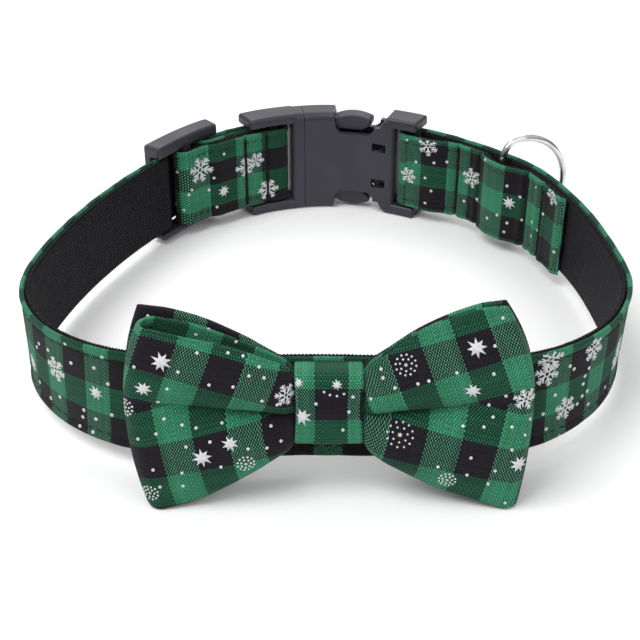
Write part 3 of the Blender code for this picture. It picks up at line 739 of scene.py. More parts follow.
def steelMaterial():
    material, w, shader = newMaterial("plated steel")
    place = objectPlace(w)
    cloudy = w.grain(place, 0.35, 3.0)
    scratches = w.grain(w.vector("MULTIPLY", place, (6.0, 6.0, 0.8)), 1.2, 2.0)
    w.feed(w.ranged(scratches, 0.0, 1.0, 0.985, 1.0), shader.inputs["Metallic"])
    color = w.mixed(w.ranged(cloudy, 0.35, 0.7), steelFinish["dull"], steelFinish["bright"])
    roughness = w.ranged(cloudy, 0.3, 0.7, *steelFinish["roughness"])
    roughness = w.plus(roughness, w.ranged(scratches, 0.55, 0.8, 0.0, steelFinish["scratch"]))
    dress(w, shader, color, roughness, scratches, *steelFinish["relief"])
    return material


checkCotton = checkMaterial()
printedWhite = inkMaterial()
blackWebbing = webbingMaterial()
blackThread = threadMaterial()
mouldedPlastic = plasticMaterial()
platedSteel = steelMaterial()
print("materials made")


turnSteps = 16  # steps round a bar

# The strap's route, as (along the loop, outside its face), from the hidden tail
# by the slider, the plug, the loop and the socket to the sewn end past the ring


def eased(rows, step=0.8):
    made = [rows[0]]
    for (s0, o0), (s1, o1) in zip(rows, rows[1:]):
        count = max(1, math.ceil(abs(s1 - s0) / step))
        for i in range(1, count + 1):
            t = i / count
            made.append((s0 + (s1 - s0) * t, o0 + (o1 - o0) * smoothstep(t)))
    return made


def halfTurn(s, o, radius, way):
    angles = [math.pi * i / turnSteps for i in range(1, turnSteps)]
    return [(s + way * radius * math.sin(a), o + way * radius * math.cos(a)) for a in angles]


def leftNormals(route):
    normals = []
    for i in range(len(route)):
        before = route[max(i - 1, 0)]
        after = route[min(i + 1, len(route) - 1)]
        turn = Vector((after[0] - before[0], after[1] - before[1])).normalized()
        normals.append(Vector((-turn.y, turn.x)))
    return normals


def beside(route, distance):
    return [
        (s + normal.x * distance, o + normal.y * distance)
        for (s, o), normal in zip(route, leftNormals(route))
    ]


turnClear = strap["gap"] + strapThickness - strap["webbing"] / 2
plugTurnS = plugSlotS + turnClear + barTurn
socketTurnS = socketSlotS - turnClear - barTurn
barSlack = buckle["foldRoom"] + (buckle["barWidth"] - buckle["barThickness"]) / 2
plugBarS = plugTurnS + barSlack
socketBarS = socketTurnS - barSlack
mainOverBar = -slider["centreBarDepth"] + centreBarTurn + layerStep
sliderInside = slider["length"] / 2 - slider["bar"] - strap["gap"]
centreTurnS = sliderS + (slider["centreBarWidth"] - slider["centreBarThickness"]) / 2


def strapRoute():
    # returns the points, and where the outer run and the socket's fold start
    main = eased(
        [
            (plugTurnS, -webbingDepth),
            (sliderS - sliderInside, -webbingDepth),
            (sliderS - slider["centreBarWidth"] * 0.8, mainOverBar),
            (sliderS + slider["centreBarWidth"] * 0.8, mainOverBar),
            (sliderS + sliderInside, -webbingDepth),
        ]
    )
    tail = [row for row in beside(main, -layerStep) if plugSlotS + strap["tailEnd"] < row[0]]
    tail = [row for row in tail if row[0] < centreTurnS - slider["centreBarThickness"] / 4]
    depth = slider["centreBarDepth"]
    route = tail + [(centreTurnS, -depth + centreBarTurn)]
    route += halfTurn(centreTurnS, -depth, centreBarTurn, 1)
    route += eased(
        [
            (centreTurnS, -depth - centreBarTurn),
            (sliderS - slider["centreBarWidth"], -depth - centreBarTurn),
            (sliderS - sliderInside, -innerByTail),
            (plugSlotS + strap["tailEnd"] * 2, -innerByTail),
            (plugTurnS, -innerAtBar),
        ]
    )
    route += halfTurn(plugTurnS, -barDepth, barTurn, -1)
    outerStart = len(route)
    route += main
    route += eased([main[-1], (loop.length + socketTurnS, -webbingDepth)])[1:]
    route += halfTurn(loop.length + socketTurnS, -barDepth, barTurn, 1)
    foldStart = len(route)
    slot = loop.length + socketSlotS
    route += eased(
        [
            (slot - socketSlotS + socketTurnS, -innerAtBar),
            (slot - socketSeams["near"] * 0.55, -innerAtBar),
            (slot - socketSeams["near"], -innerSewn),
            (slot - socketSeams["before ring"], -innerSewn),
            (slot - ring["fromSlot"] + ring["wire"] * 1.5, -innerAtRing),
            (slot - ring["fromSlot"] - ring["wire"] * 1.5, -innerAtRing),
            (slot - socketSeams["after ring"], -innerSewn),
            (slot - strap["foldEnd"], -innerSewn),
        ]
    )
    # the fold's steps eased out, as cloth bridges them
    for _ in range(strap["foldRounds"]):
        for i in range(foldStart + 1, len(route) - 1):
            s, o = route[i]
            route[i] = (s, o * 0.5 + (route[i - 1][1] + route[i + 1][1]) * 0.25)
    return route, outerStart, foldStart


routePoints, outerStart, foldStart = strapRoute()
routeNormals = leftNormals(routePoints)
routeMarks = [0.0]
for (s0, o0), (s1, o1) in zip(routePoints, routePoints[1:]):
    routeMarks.append(routeMarks[-1] + math.hypot(s1 - s0, o1 - o0))
routeLength = routeMarks[-1]
outerFrom = routeMarks[outerStart]
foldFrom = routeMarks[foldStart]
print("strap route: %.1f mm" % routeLength)


def routeAt(length):
    length = min(max(length, 0.0), routeLength)
    low = min(bisect.bisect_right(routeMarks, length) - 1, len(routePoints) - 2)
    t = (length - routeMarks[low]) / max(routeMarks[low + 1] - routeMarks[low], 1e-9)
    (s0, o0), (s1, o1) = routePoints[low], routePoints[low + 1]
    normal = routeNormals[low].lerp(routeNormals[low + 1], t).normalized()
    return s0 + (s1 - s0) * t, o0 + (o1 - o0) * t, normal


def onRoute(length, side, height):
    s, o, normal = routeAt(length)
    beyond = length - min(max(length, 0.0), routeLength)
    return onStrap(s + normal.x * side + normal.y * beyond, o + normal.y * side - normal.x * beyond, height)


def markWhere(indices, target, otherwise):
    # the route's length where it first comes back to a place along the loop
    return next((routeMarks[i] for i in indices if routePoints[i][0] <= target), otherwise)


def foldLength(fromSlot):
    # on the socket's doubled end, at a distance from its slot
    target = loop.length + socketSlotS - fromSlot
    return markWhere(range(foldStart, len(routePoints)), target, routeLength)


def plugLength(fromSlot):
    # the same on the plug's doubled end
    turning = next(i for i in range(len(routePoints)) if routePoints[i][0] > centreTurnS)
    return markWhere(range(turning + turnSteps // 2, outerStart), plugSlotS + fromSlot, outerFrom)


crossSeams = [foldLength(distance) for distance in socketSeams.values()]
crossSeams += [plugLength(distance) for distance in plugSeams]


def coverRelief(length, height):
    # soft hollows along the stitch rows, pressed grooves across at the seams
    low = strap["stitchLine"]
    made = -strap["stitchDip"] * (bump(height - low, 0.5) + bump(height - strap["width"] + low, 0.5))
    made += strap["ripple"] * noise.noise(Vector((length * 0.16, height * 0.3, 3.0)))
    for seam in crossSeams:
        distance = length - seam
        if abs(distance) < 8:
            made -= strap["seamDepth"] * bump(distance, strap["seamHalf"])
            made += strap["seamPucker"] * bump(abs(distance) - 2.4, 1.3)
    return made


def edgeWave(length, edge):
    return strap["edgeWave"] * noise.noise(Vector((length * 0.22, edge * 7.0, 11.0)))


def coverSection():
    # (side, height, share of the relief, cloth distance from the middle line)
    face = coverSide + strap["cover"]
    crest = face + strap["roll"]
    middle, radius = (coverSide + crest) / 2, (crest - coverSide) / 2
    tall, hem = strap["hemRound"], strap["hem"]
    half = [(coverSide, hem)]
    for i in range(9):
        a = math.pi * (1.0 - i / 8)
        half.append((middle + radius * math.cos(a), tall - tall * math.sin(a)))
    half += [(crest - 0.05, 1.35), (face + 0.08, 1.8), (face - 0.02, 2.3), (face, 2.8), (face, hem)]
    points = half + [(face, hem + (strap["width"] - hem * 2) * i / 8) for i in range(1, 8)]
    points += [(side, strap["width"] - height) for side, height in half[::-1]]
    rows, walked = [], 0.0
    for i, (side, height) in enumerate(points):
        if i:
            walked += math.hypot(side - points[i - 1][0], height - points[i - 1][1])
        rows.append((side, height, smoothstep((side - coverSide) / strap["cover"]), walked))
    middleWalk = walked / 2
    return [
        (side, height, share, walk - middleWalk + strap["width"] / 2) for side, height, share, walk in rows
    ]


strapCheck = {
    # a square's length there, and where a black one starts, along and up
    "outerRun": (7.17, -65.8, 0.0),  # from the bow's middle
    "plugFold": (11.0, -15.5, -3.9),  # from the plug's slot
    "socketFold": (9.3, 6.1, 1.15),  # from the socket's slot
}
bowMark = outerFrom + loop.length - plugTurnS
plugSlotMark = plugLength(0.0)
socketSlotMark = foldLength(0.0)


def strapUv(length, walk):
    region, mark = "outerRun", bowMark
    if length < outerFrom - 4:
        region, mark = "plugFold", plugSlotMark
    elif length > foldFrom:
        region, mark = "socketFold", socketSlotMark
    square, along, up = strapCheck[region]
    return (length - mark - along) * cloth["cell"] / square, walk - up


def stations(first, last, step):
    count = max(1, round((last - first) / step))
    return [first + (last - first) * i / count for i in range(count + 1)]


def makeCover():
    places = stations(0.0, routeLength + strap["endTuck"], strap["coverStep"])
    for seam in crossSeams:
        places = [place for place in places if abs(place - seam) > strap["seamReach"]]
        places += [seam + strap["coverStep"] / 2 * i for i in range(-6, 7)]

    def pointOf(index, length, corner):
        side, height, share, _ = corner
        over = smoothstep((length - routeLength + strap["tuckStart"]) / strap["tuckLength"])
        lifted = side + share * coverRelief(length, height)
        lifted -= over * (strap["webbing"] + strap["gap"]) * share + over * strap["tuckIn"]
        edge = -1 if height < strap["width"] / 2 else 1
        near = 1 - smoothstep(min(height, strap["width"] - height) / 3)
        return onRoute(length, lifted, height + near * edgeWave(length, edge))

    def uvOf(length, corner):
        return strapUv(length, corner[3])

    mesh = sweep("plaid_strap_cover", sorted(places), coverSection(), pointOf, uvOf)
    return addObject("plaid_strap_cover", mesh, checkCotton, "plaid_cover")


def makeWebbing():
    # the long edges are loops of thread, one tooth to every other station
    half = strap["webbing"] / 2
    low, high = strap["inset"], strap["width"] - strap["inset"]
    steps = 12
    edge = strap["selvedge"]
    inner = [(-half, low + edge + (high - low - edge * 2) * i / steps) for i in range(steps + 1)]
    section = [(half, low + edge), (half * 0.5, low), (-half * 0.5, low)] + inner
    section += [(-half * 0.5, high), (half * 0.5, high), (half, high - edge)]

    def pointOf(index, length, corner):
        side, height = corner
        way = -1 if height < low + edge / 2 else 1 if height > high - edge / 2 else 0
        if side < -half * 0.9 and way == 0:
            side -= 0.05 * noise.noise(Vector((length * 0.3, height * 0.4, 5.0)))
        tooth = strap["tooth"] * (1 if index % 2 else -0.6)
        return onRoute(length, side, height + way * (tooth + edgeWave(length, way + 3)))

    def uvOf(length, corner):
        return length, corner[1]

    mesh = sweep("webbing", stations(0.0, routeLength, strap["webbingStep"]), section, pointOf, uvOf)
    return addObject("webbing", mesh, blackWebbing, "webbing_strap")


def addStitches(name, stitches, radius):
    # each stitch is a short bowed thread from one point of the cloth to another
    points, faces = [], []
    rows, sides = 5, 6
    for start, end, normal in stitches:
        along = end - start
        across = along.cross(normal).normalized()
        base = len(points)
        for i in range(rows):
            t = i / (rows - 1)
            thick = radius * (0.45 + 0.55 * math.sin(math.pi * t))
            centre = start + along * t + normal * (radius * (1.5 * math.sin(math.pi * t) - 0.7))
            for j in range(sides):
                a = 2 * math.pi * j / sides
                points.append(centre + across * thick * math.cos(a) + normal * thick * 0.8 * math.sin(a))
            if i:
                faces += bandFaces(sides, base + (i - 1) * sides, base + i * sides)
        faces += [tuple(range(first, first + sides)) for first in (base, base + (rows - 1) * sides)]
    return addObject(name, meshFrom(name, points, faces), blackThread)


def coverSurface(length, height):
    # the point and normal of the cover's own face, met from just outside it
    start, inner = onRoute(length, strap["coverReach"], height), onRoute(length, 0.0, height)
    direction = (inner - start).normalized()
    point, normal, _, _ = coverTree.ray_cast(intoFrame(start), direction, strap["coverReach"] * mm)
    if point is None:
        return onRoute(length, coverSide + strap["cover"], height), -direction
    return point / mm - frameShift, facedFrom(normal, direction)


def makeEdgeStitches():
    stitches = []
    pitch = strap["stitchLength"] + strap["stitchGap"]
    for height in (strap["stitchLine"], strap["width"] - strap["stitchLine"]):
        for i in range(int((routeLength - 4) / pitch)):
            first = 2 + i * pitch
            start, normal = coverSurface(first, height)
            end, _ = coverSurface(first + strap["stitchLength"], height)
            stitches.append((start, end, normal))
    return addStitches("edge_stitches", stitches, strap["thread"])


def makeCrossSeams():
    stitches = []
    pitch, lift = strap["seamPitch"], strap["seamLift"]
    for seam in crossSeams:
        for offset, start in ((-strap["seamGap"], 0.6), (strap["seamGap"], 1.0)):
            for i in range(int((strap["width"] - 1.0) / pitch)):
                low = start + i * pitch
                high = min(low + pitch * 1.15, strap["width"] - 0.3)
                first, normal = coverSurface(seam + offset, low)
                second, _ = coverSurface(seam + offset * 0.4, high)
                stitches.append((first + normal * lift, second + normal * lift, normal))
    return addStitches("seam_stitches", stitches, strap["thread"] * strap["seamThread"])


# Prints on the cloth: flat shapes laid over a surface, with their own thickness

printForms = {
    "step": 1.0,  # longest edge of a print's triangles
    "starWaist": 0.46,
    "starUneven": 0.08,
    "starTurn": 0.2,
    "flakeThick": 0.034,
    "flakeTurn": 0.26,
    "flakeRing": (0.15, 0.26),
    "clusterDot": 0.5,
    "clusterRings": ((0.26, 7, 0.1), (0.44, 12, 0.3)),  # share of the size, dots, turn
}


def starOutline(size, points=8):
    outline = []
    for i in range(points * 2):
        reach = size / 2 * (1.0 if i % 2 == 0 else printForms["starWaist"])
        reach *= 1.0 + printForms["starUneven"] * math.sin(i * 2.3)
        outline.append(polar(reach, math.pi * i / points + printForms["starTurn"]))
    return [outline]


def dotOutline(size):
    return [[polar(size / 2, math.pi * i / 6) for i in range(12)]]


def flakeOutline(size):
    # six arms with two pairs of branches, round a small ring
    reach, thick = size / 2, size * printForms["flakeThick"]
    stem = [(thick, 0.17), (thick, 0.36), (0.32, 0.66), (0.25, 0.73), (thick, 0.54), (thick, 0.68)]
    stem += [(0.24, 0.92), (0.17, 0.98), (thick, 0.82), (thick, 1.0)]
    side = [(x if x == thick else x * reach, y * reach) for x, y in stem]
    outline = side + [(-x, y) for x, y in side[::-1]]
    turns = [math.pi / 3 * arm + printForms["flakeTurn"] for arm in range(6)]
    shapes = [[turned(x, y, turn) for x, y in outline] for turn in turns]
    inner, outer = (reach * share for share in printForms["flakeRing"])
    for i in range(12):
        a, b = math.pi * i / 6, math.pi * (i + 1) / 6
        shapes.append([polar(inner, a), polar(outer, a), polar(outer, b), polar(inner, b)])
    return shapes


def clusterOutline(size):
    # a burst of small dots round a little star
    shapes = starOutline(size * 0.2, 6)
    for radius, count, turn in printForms["clusterRings"]:
        for i in range(count):
            across, up = polar(size * radius, 2 * math.pi * i / count + turn)
            shapes.append([(x + across, y + up) for x, y in dotOutline(printForms["clusterDot"])[0]])
    return shapes


printShapes = {"star": starOutline, "dot": dotOutline, "flake": flakeOutline, "cluster": clusterOutline}


def printFaces(kind, size, turn):
    # the print's triangles in its own plane, small enough to follow the cloth
    shape = bmesh.new()
    turn = math.radians(turn)
    for outline in printShapes[kind](size):
        shape.faces.new([shape.verts.new((*turned(x, y, turn), 0.0)) for x, y in outline])
    shape.normal_update()
    for _ in range(2):
        bmesh.ops.triangulate(shape, faces=shape.faces[:])
        long = [edge for edge in shape.edges if edge.calc_length() > printForms["step"]]
        bmesh.ops.subdivide_edges(shape, edges=long, cuts=1)
    bmesh.ops.triangulate(shape, faces=shape.faces[:])
    shape.verts.index_update()
    spots = [(vert.co.x, vert.co.y) for vert in shape.verts]
    fronts = [[vert.index for vert in face.verts] for face in shape.faces]
    shape.free()
    return spots, fronts


class PrintedPiece:
    # gathers the prints that lie on one piece of cloth
    def __init__(self, made):
        self.tree = treeOf(made)
        self.points, self.faces, self.uvs = [], [], []

    def lay(self, hit, normal, sideways, kind, size, turn):
        along = (sideways - normal * sideways.dot(normal)).normalized()
        upwards = normal.cross(along)
        if upwards.z < 0:
            upwards = -upwards
        spots, fronts = printFaces(kind, size, turn)
        reach = cloth["printReach"] * mm
        found = []
        for x, y in spots:
            start = hit + (along * x + upwards * y) * mm + normal * reach
            found.append(self.tree.ray_cast(start, -normal, reach * 2)[:2])
        kept = [face for face in fronts if all(found[i][0] for i in face)]
        numbers = {}
        lift = cloth["inkLift"] * mm
        for i in sorted({i for face in kept for i in face}):
            numbers[i] = len(self.points)
            point, facing = found[i]
            facing = facedFrom(facing, -normal)
            self.points += [point + facing * lift, point - facing * lift]
        edges = {}
        for face in kept:
            self.addFace([numbers[i] for i in face], [spots[i] for i in face])
            self.addFace([numbers[i] + 1 for i in face[::-1]], [spots[i] for i in face[::-1]])
            for i in range(len(face)):
                pair = (face[i], face[(i + 1) % len(face)])
                edges[pair] = edges.get(pair, 0) + 1
        for first, second in edges:
            if (second, first) not in edges:
                a, b = numbers[first], numbers[second]
                self.addFace([b, a, a + 1, b + 1], [spots[second], spots[first], spots[first], spots[second]])

    def addFace(self, corners, uv):
        self.faces.append(corners)
        self.uvs.append(uv)

    def finished(self, name):
        points = [point / mm - frameShift for point in self.points]
        return addObject(name, meshFrom(name, points, self.faces, self.uvs), printedWhite)


print("strap: cover, webbing and stitches")
cover = makeCover()
coverTree = treeOf(cover)
webbing = makeWebbing()
edgeStitches = makeEdgeStitches()
seamStitches = makeCrossSeams()


# The bow

bow = {
    "length": 93.0,
    "height": 47.0,
    "raise": 4.0,
    "left": 0.8,
    "back": 2.4,
    "front": 1.2,
    "knotWidth": 15.0,
    "knotHeight": 18.6,
    "knot": 1.3,
    "knotPinch": 0.4,
    "knotSoft": 0.1,
    "knotCorner": 0.45,
    "knotStep": 0.6,
    "knotSteps": 13,
    "standOff": 5.0,
    "hollow": 4.4,
    "upright": 0.05,
    "floorClear": 0.2,
    "leftCut": (3.7, 4.0),
    "rightCut": (7.0, 2.0),
    "rightTopClosed": 0.6,
    "wrinkle": 0.16,
    "backWrinkle": 0.2,
    "lobeMiddle": 0.55,  # each lobe's crest, as a share from the crease to the edge
    "lobePower": 2.3,
    "lobeSteeper": 1.3,
    "stepsRound": 14,
    "stepsOut": 46,
    "stepsUp": 44,
}

# share of half the length, upper edge, lower edge, rear panel's upper edge
wingRoot = (
    (0.00, 0.29, -0.29, 0.29),
    (0.17, 0.30, -0.30, 0.30),
    (0.21, 0.42, -0.42, 0.42),
)
leftWing = wingRoot + (
    (0.28, 0.50, -0.49, 0.51),
    (0.42, 0.61, -0.64, 0.62),
    (0.60, 0.73, -0.80, 0.77),
    (0.80, 0.83, -0.94, 0.90),
    (1.00, 0.94, -1.01, 0.97),
)
rightWing = wingRoot + (
    (0.28, 0.53, -0.52, 0.52),
    (0.42, 0.73, -0.65, 0.70),
    (0.60, 0.92, -0.80, 0.88),
    (0.80, 1.06, -0.90, 1.02),
    (1.00, 1.13, -1.00, 1.08),
)
backWing = (
    (0.00, 0.28, -0.28, 0.28),
    (0.17, 0.29, -0.29, 0.29),
    (0.21, 0.38, -0.36, 0.38),
    (0.32, 0.52, -0.50, 0.53),
    (0.46, 0.68, -0.66, 0.72),
    (0.65, 0.86, -0.82, 0.90),
    (0.85, 0.98, -0.92, 1.03),
    (1.00, 1.02, -0.95, 1.07),
)

# share of half the length, depth of the crease, of its lobes, the crease's height
faceRelief = (
    (0.00, 0.00, 0.08, -0.06),
    (0.17, 0.00, 0.14, -0.06),
    (0.24, 0.02, 0.80, -0.06),
    (0.38, 0.06, 1.12, -0.01),
    (0.58, 0.16, 1.06, 0.04),
    (0.80, 0.48, 0.74, 0.12),
    (1.00, 0.86, 0.34, 0.18),
)

# How the check lies on each lobe of the front: turn in degrees, where a black
# square starts along and across, and the square's size there
lobeCheck = {
    (-1, True): (20.5, 38.7, -2.1, 8.0, 7.8),
    (-1, False): (-10.0, 39.6, -7.7, 7.9, 8.5),
    (1, True): (21.0, 33.4, 0.0, 7.9, 8.05),
    (1, False): (-11.5, 31.2, -7.6, 8.2, 8.8),
}

knotWall = bow["knot"] + strap["gap"]
backMiddle = strap["gap"] + knotWall + bow["back"] / 2
bowCentre = onStrap(-bow["left"], 0.0, strap["width"] / 2 + bow["raise"])
bowUp = (onStrap(0.0, 0.0, strap["width"]) - onStrap(0.0, 0.0, 0.0)).normalized()
bowAcross = Vector((1, 0, 0))
bowOut = bowAcross.cross(bowUp)


def onBow(x, u, w, wall=bow["front"]):
    made = bowCentre + bowAcross * x + bowUp * u + bowOut * w
    return Vector((made.x, made.y, max(made.z, bow["floorClear"] + wall / 2)))


def wingPoint(table, side, out, v, topColumn=1):
    crease = tableValue(faceRelief, out, 3)
    edge = tableValue(table, out, topColumn if v > 0 else 2)
    up = crease + abs(v) * (edge - crease)
    cuts = bow["rightCut"] if side > 0 else bow["leftCut"]
    cut = cuts[0] if v > 0 else cuts[1]
    return side * out * (bow["length"] / 2 - cut * v * v * out), up * bow["height"] / 2


def upright(up, out):
    return bow["upright"] * up * smoothstep(out)


def lobeShape(v, out):
    # steeper beside the crease near the knot, softer towards the tip
    power = bow["lobePower"] + bow["lobeSteeper"] * (1 - smoothstep(out))
    return 1 - abs((abs(v) - bow["lobeMiddle"]) / bow["lobeMiddle"]) ** power


def backDepth(out):
    return backMiddle + (bow["standOff"] - backMiddle) * smoothstep(out)


def rearDepth(out):
    step = (bow["back"] + bow["front"]) / 2 + strap["gap"]
    return backDepth(out) + step + strap["gap"] * 2 * smoothstep(out)


def faceDepth(side, out, v):
    crease = tableValue(faceRelief, out, 1)
    lobe = tableValue(faceRelief, out, 2)
    hollow = bow["hollow"] * (crease + lobe * lobeShape(v, out))
    if side > 0:
        hollow *= 1 - bow["rightTopClosed"] * smoothstep(v) * smoothstep(out * 2)
    return rearDepth(out) + bow["front"] + strap["gap"] * 2 + hollow


def wingTable(side):
    return rightWing if side > 0 else leftWing


def panelPoint(side, out, v, front):
    across, up = wingPoint(wingTable(side), side, out, v, 1 if front else 3)
    tuck = (faceDepth(side, 1.0, v) - rearDepth(1.0)) / 2 * smoothstep(out)
    depth = faceDepth(side, out, v) if front else rearDepth(out)
    wrinkle = bow["wrinkle"] * noise.noise(Vector((across * 0.16, up * 0.2, 2.0 if front else 6.0)))
    return across - side * tuck, up, depth + upright(up, out) + wrinkle * smoothstep(out * 3)


def foldPoint(side, angle, v):
    share = (1 + math.sin(angle)) / 2
    rearAcross, rearUp = wingPoint(wingTable(side), side, 1.0, v, 3)
    across, up = wingPoint(wingTable(side), side, 1.0, v)
    rear, face = rearDepth(1.0), faceDepth(side, 1.0, v)
    radius = (face - rear) / 2
    across = rearAcross + (across - rearAcross) * share
    across += side * radius * (math.cos(angle) - 1)
    up = rearUp + (up - rearUp) * share
    return across, up, rear + (face - rear) * share + upright(up, 1.0)


def checkPlace(side, across, up, upper, extra=0.0):
    # cloth coordinates of a point of the front face
    turn, columnStart, rowStart, columnSize, rowSize = lobeCheck[(side, upper)]
    u, v = turned(side * across, up, -math.radians(turn))
    cell = cloth["cell"]
    return (u + extra - columnStart) * cell / columnSize, (v - rowStart) * cell / rowSize


def gridNormals(rows, around):
    normals = []
    count, across = len(rows), len(rows[0])
    for i in range(count):
        before = rows[i - 1] if around or i else rows[i]
        after = rows[(i + 1) % count] if around or i < count - 1 else rows[i]
        line = []
        for j in range(across):
            low, high = rows[i][max(j - 1, 0)], rows[i][min(j + 1, across - 1)]
            normal = (after[j] - before[j]).cross(high - low)
            line.append(normal.normalized() if normal.length > 1e-9 else Vector((0, -1, 0)))
        normals.append(line)
    return normals


def shell(name, rows, thickness, around, uvOf):
    # a cloth wall over a grid of middle points, with rounded edges;
    # uvOf(span, row, column, upper) gives the cloth place of a corner
    normals = gridNormals(rows, around)
    across = len(rows[0])
    half = thickness / 2
    rim = [math.radians(a) for a in (60, 25, -25, -60)]
    columns = list(range(across)) + [across - 1] * 4 + list(range(across))[::-1] + [0] * 4
    beyond = [half * (math.pi / 2 - abs(a)) for a in rim]
    overs = [0.0] * across + beyond + [0.0] * across + [-value for value in beyond]
    sides = len(columns)

    def ringAt(i, slim):
        row, line = rows[i], normals[i]
        top, low = (row[-1] - row[-2]).normalized(), (row[0] - row[1]).normalized()
        made = [p + n * half * slim for p, n in zip(row, line)]
        made += [row[-1] + top * half * math.cos(a) + line[-1] * half * slim * math.sin(a) for a in rim]
        made += [p - n * half * slim for p, n in zip(row[::-1], line[::-1])]
        made += [row[0] + low * half * math.cos(a) + line[0] * half * slim * math.sin(a) for a in rim[::-1]]
        return made

    rings = [(i, ringAt(i, 1.0)) for i in range(len(rows))]
    if not around:
        for end, inside in ((0, 1), (len(rows) - 1, len(rows) - 2)):
            for turn in (35, 65, 85):
                a = math.radians(turn)
                grown = []
                for point, column in zip(ringAt(end, math.cos(a)), columns):
                    away = (rows[end][column] - rows[inside][column]).normalized()
                    grown.append(point + away * half * math.sin(a))
                rings.insert(len(rings) if end else 0, (end, grown))
    points = [point for _, ringPoints in rings for point in ringPoints]
    faces, uvs = [], []
    total = len(rings)
    middle = (across - 1) / 2
    for i in range(total if around else total - 1):
        k = (i + 1) % total
        first, second = rings[i][0], rings[k][0]
        for j in range(sides):
            m = (j + 1) % sides
            upper = columns[j] + columns[m] > middle * 2
            faces.append((i * sides + j, i * sides + m, k * sides + m, k * sides + j))
            corners = []
            for row, column in ((first, j), (first, m), (second, m), (second, j)):
                u, v = uvOf(first, row, columns[column], upper)
                corners.append((u, v + overs[column]))
            uvs.append(corners)
    if not around:
        last = across + 4
        for i in (0, total - 1):
            row = rings[i][0]
            caps = [(j, j + 1, last + across - 2 - j, last + across - 1 - j) for j in range(across - 1)]
            caps += [tuple(range(across - 1, last + 1)), (*range(last + across - 1, sides), 0)]
            for cap in caps:
                faces.append(tuple(i * sides + j for j in cap))
                upper = sum(columns[j] for j in cap) / len(cap) > middle
                uvs.append([uvOf(row, row, columns[j], upper) for j in cap])
    return meshFrom(name, points, faces, uvs)


wingHeights = [2 * i / bow["stepsUp"] - 1 for i in range(bow["stepsUp"] + 1)]
wingOuts = [i / bow["stepsOut"] for i in range(bow["stepsOut"] + 1)]

bowCheck = {
    "rearShift": 1.7,  # the rear panel's columns lie this far along from the front's
    "rearRow": 4.0,
    "back": (17.0, 8.9, 5.6),  # turn in degrees, column start, row start
}


def makeFrontLoop():
    rows, tags = [], []
    folds = [math.pi * (i / bow["stepsRound"] - 0.5) for i in range(1, bow["stepsRound"])]

    def addPanel(side, outs, front):
        for out in outs:
            tags.append(("front" if front else "rear", side, out))
            rows.append([onBow(*panelPoint(side, out, v, front)) for v in wingHeights])

    def addFold(side, angles):
        for angle in angles:
            tags.append(("fold", side, angle))
            rows.append([onBow(*foldPoint(side, angle, v)) for v in wingHeights])

    addPanel(-1, wingOuts[::-1], False)
    addPanel(1, wingOuts[1:], False)
    addFold(1, folds)
    addPanel(1, wingOuts[::-1], True)
    addPanel(-1, wingOuts[1:], True)
    addFold(-1, folds[::-1])

    def uvOf(span, row, column, upper):
        kind, side, value = tags[row]
        v = wingHeights[column]
        nextKind = tags[(span + 1) % len(tags)][0]
        if tags[span][0] == "rear" and nextKind == "rear":
            across, up, _ = panelPoint(side, value, v, False)
            u, w = checkPlace(side, across, up, True, bowCheck["rearShift"])
            return u, w + bowCheck["rearRow"]
        out = value if kind == "front" else 1.0
        across, up, _ = panelPoint(side, out, v, True)
        extra = 0.0
        radius = (faceDepth(side, 1.0, v) - rearDepth(1.0)) / 2
        if kind == "fold":
            extra = radius * (math.pi / 2 - value)
        elif kind == "rear":
            extra = radius * math.pi
        return checkPlace(side, across, up, upper, extra)

    mesh = shell("bow_front_loop", rows, bow["front"], True, uvOf)
    return addObject("bow_front_loop", mesh, checkCotton, "bow_front")


def makeBackLayer():
    rows, places = [], []
    for side, outs in ((-1, wingOuts[::-1]), (1, wingOuts[1:])):
        for out in outs:
            row = []
            for v in wingHeights:
                across, up = wingPoint(backWing, side, out, v, 3 if side > 0 else 1)
                wrinkle = bow["backWrinkle"] * noise.noise(Vector((across * 0.12, up * 0.2, 9.0)))
                depth = backDepth(out) + upright(up, out) + wrinkle * smoothstep(out * 3)
                row.append(onBow(across, up, depth, bow["back"]))
                places.append((side * across, up))
            rows.append(row)
    turn, columnStart, rowStart = bowCheck["back"]
    turn = math.radians(turn)

    def uvOf(span, row, column, upper):
        u, v = turned(*places[row * len(wingHeights) + column], -turn if upper else turn)
        return u - columnStart, v - rowStart

    mesh = shell("bow_back_layer", rows, bow["back"], False, uvOf)
    return addObject("bow_back_layer", mesh, checkCotton, "bow_back")


knotEdge = bow["knotWidth"] / bow["length"]
knotFront = faceDepth(1, knotEdge, bow["lobeMiddle"]) + (bow["front"] + bow["knot"]) / 2 + strap["gap"] * 1.5
knotCheck = (-3.4, 4.0)  # where a black square starts, across and along the band


def knotRing():
    # the band's middle as (up, out), from the top by the front, rounded corners
    back = strap["gap"] + bow["knot"] / 2
    halfUp = (bow["knotHeight"] - bow["knot"]) / 2
    halfOut = (knotFront - back) / 2
    radius = min(halfOut, halfUp) * bow["knotCorner"]
    corners = ((1, 1), (-1, 1), (-1, -1), (1, -1))

    def onCorner(corner, quarters):
        up, out = corners[corner % 4]
        x, y = polar(radius, math.pi / 2 * quarters)
        return Vector((up * (halfUp - radius) + x, out * (halfOut - radius) + y))

    ringPoints = []
    for corner in range(4):
        ringPoints += [onCorner(corner, corner + i / 8) for i in range(9)]
        start, end = ringPoints[-1], onCorner(corner + 1, corner + 1)
        steps = max(2, int((end - start).length / bow["knotStep"]))
        ringPoints += [start.lerp(end, i / steps) for i in range(1, steps)]
    return ringPoints, (knotFront + back) / 2, halfUp


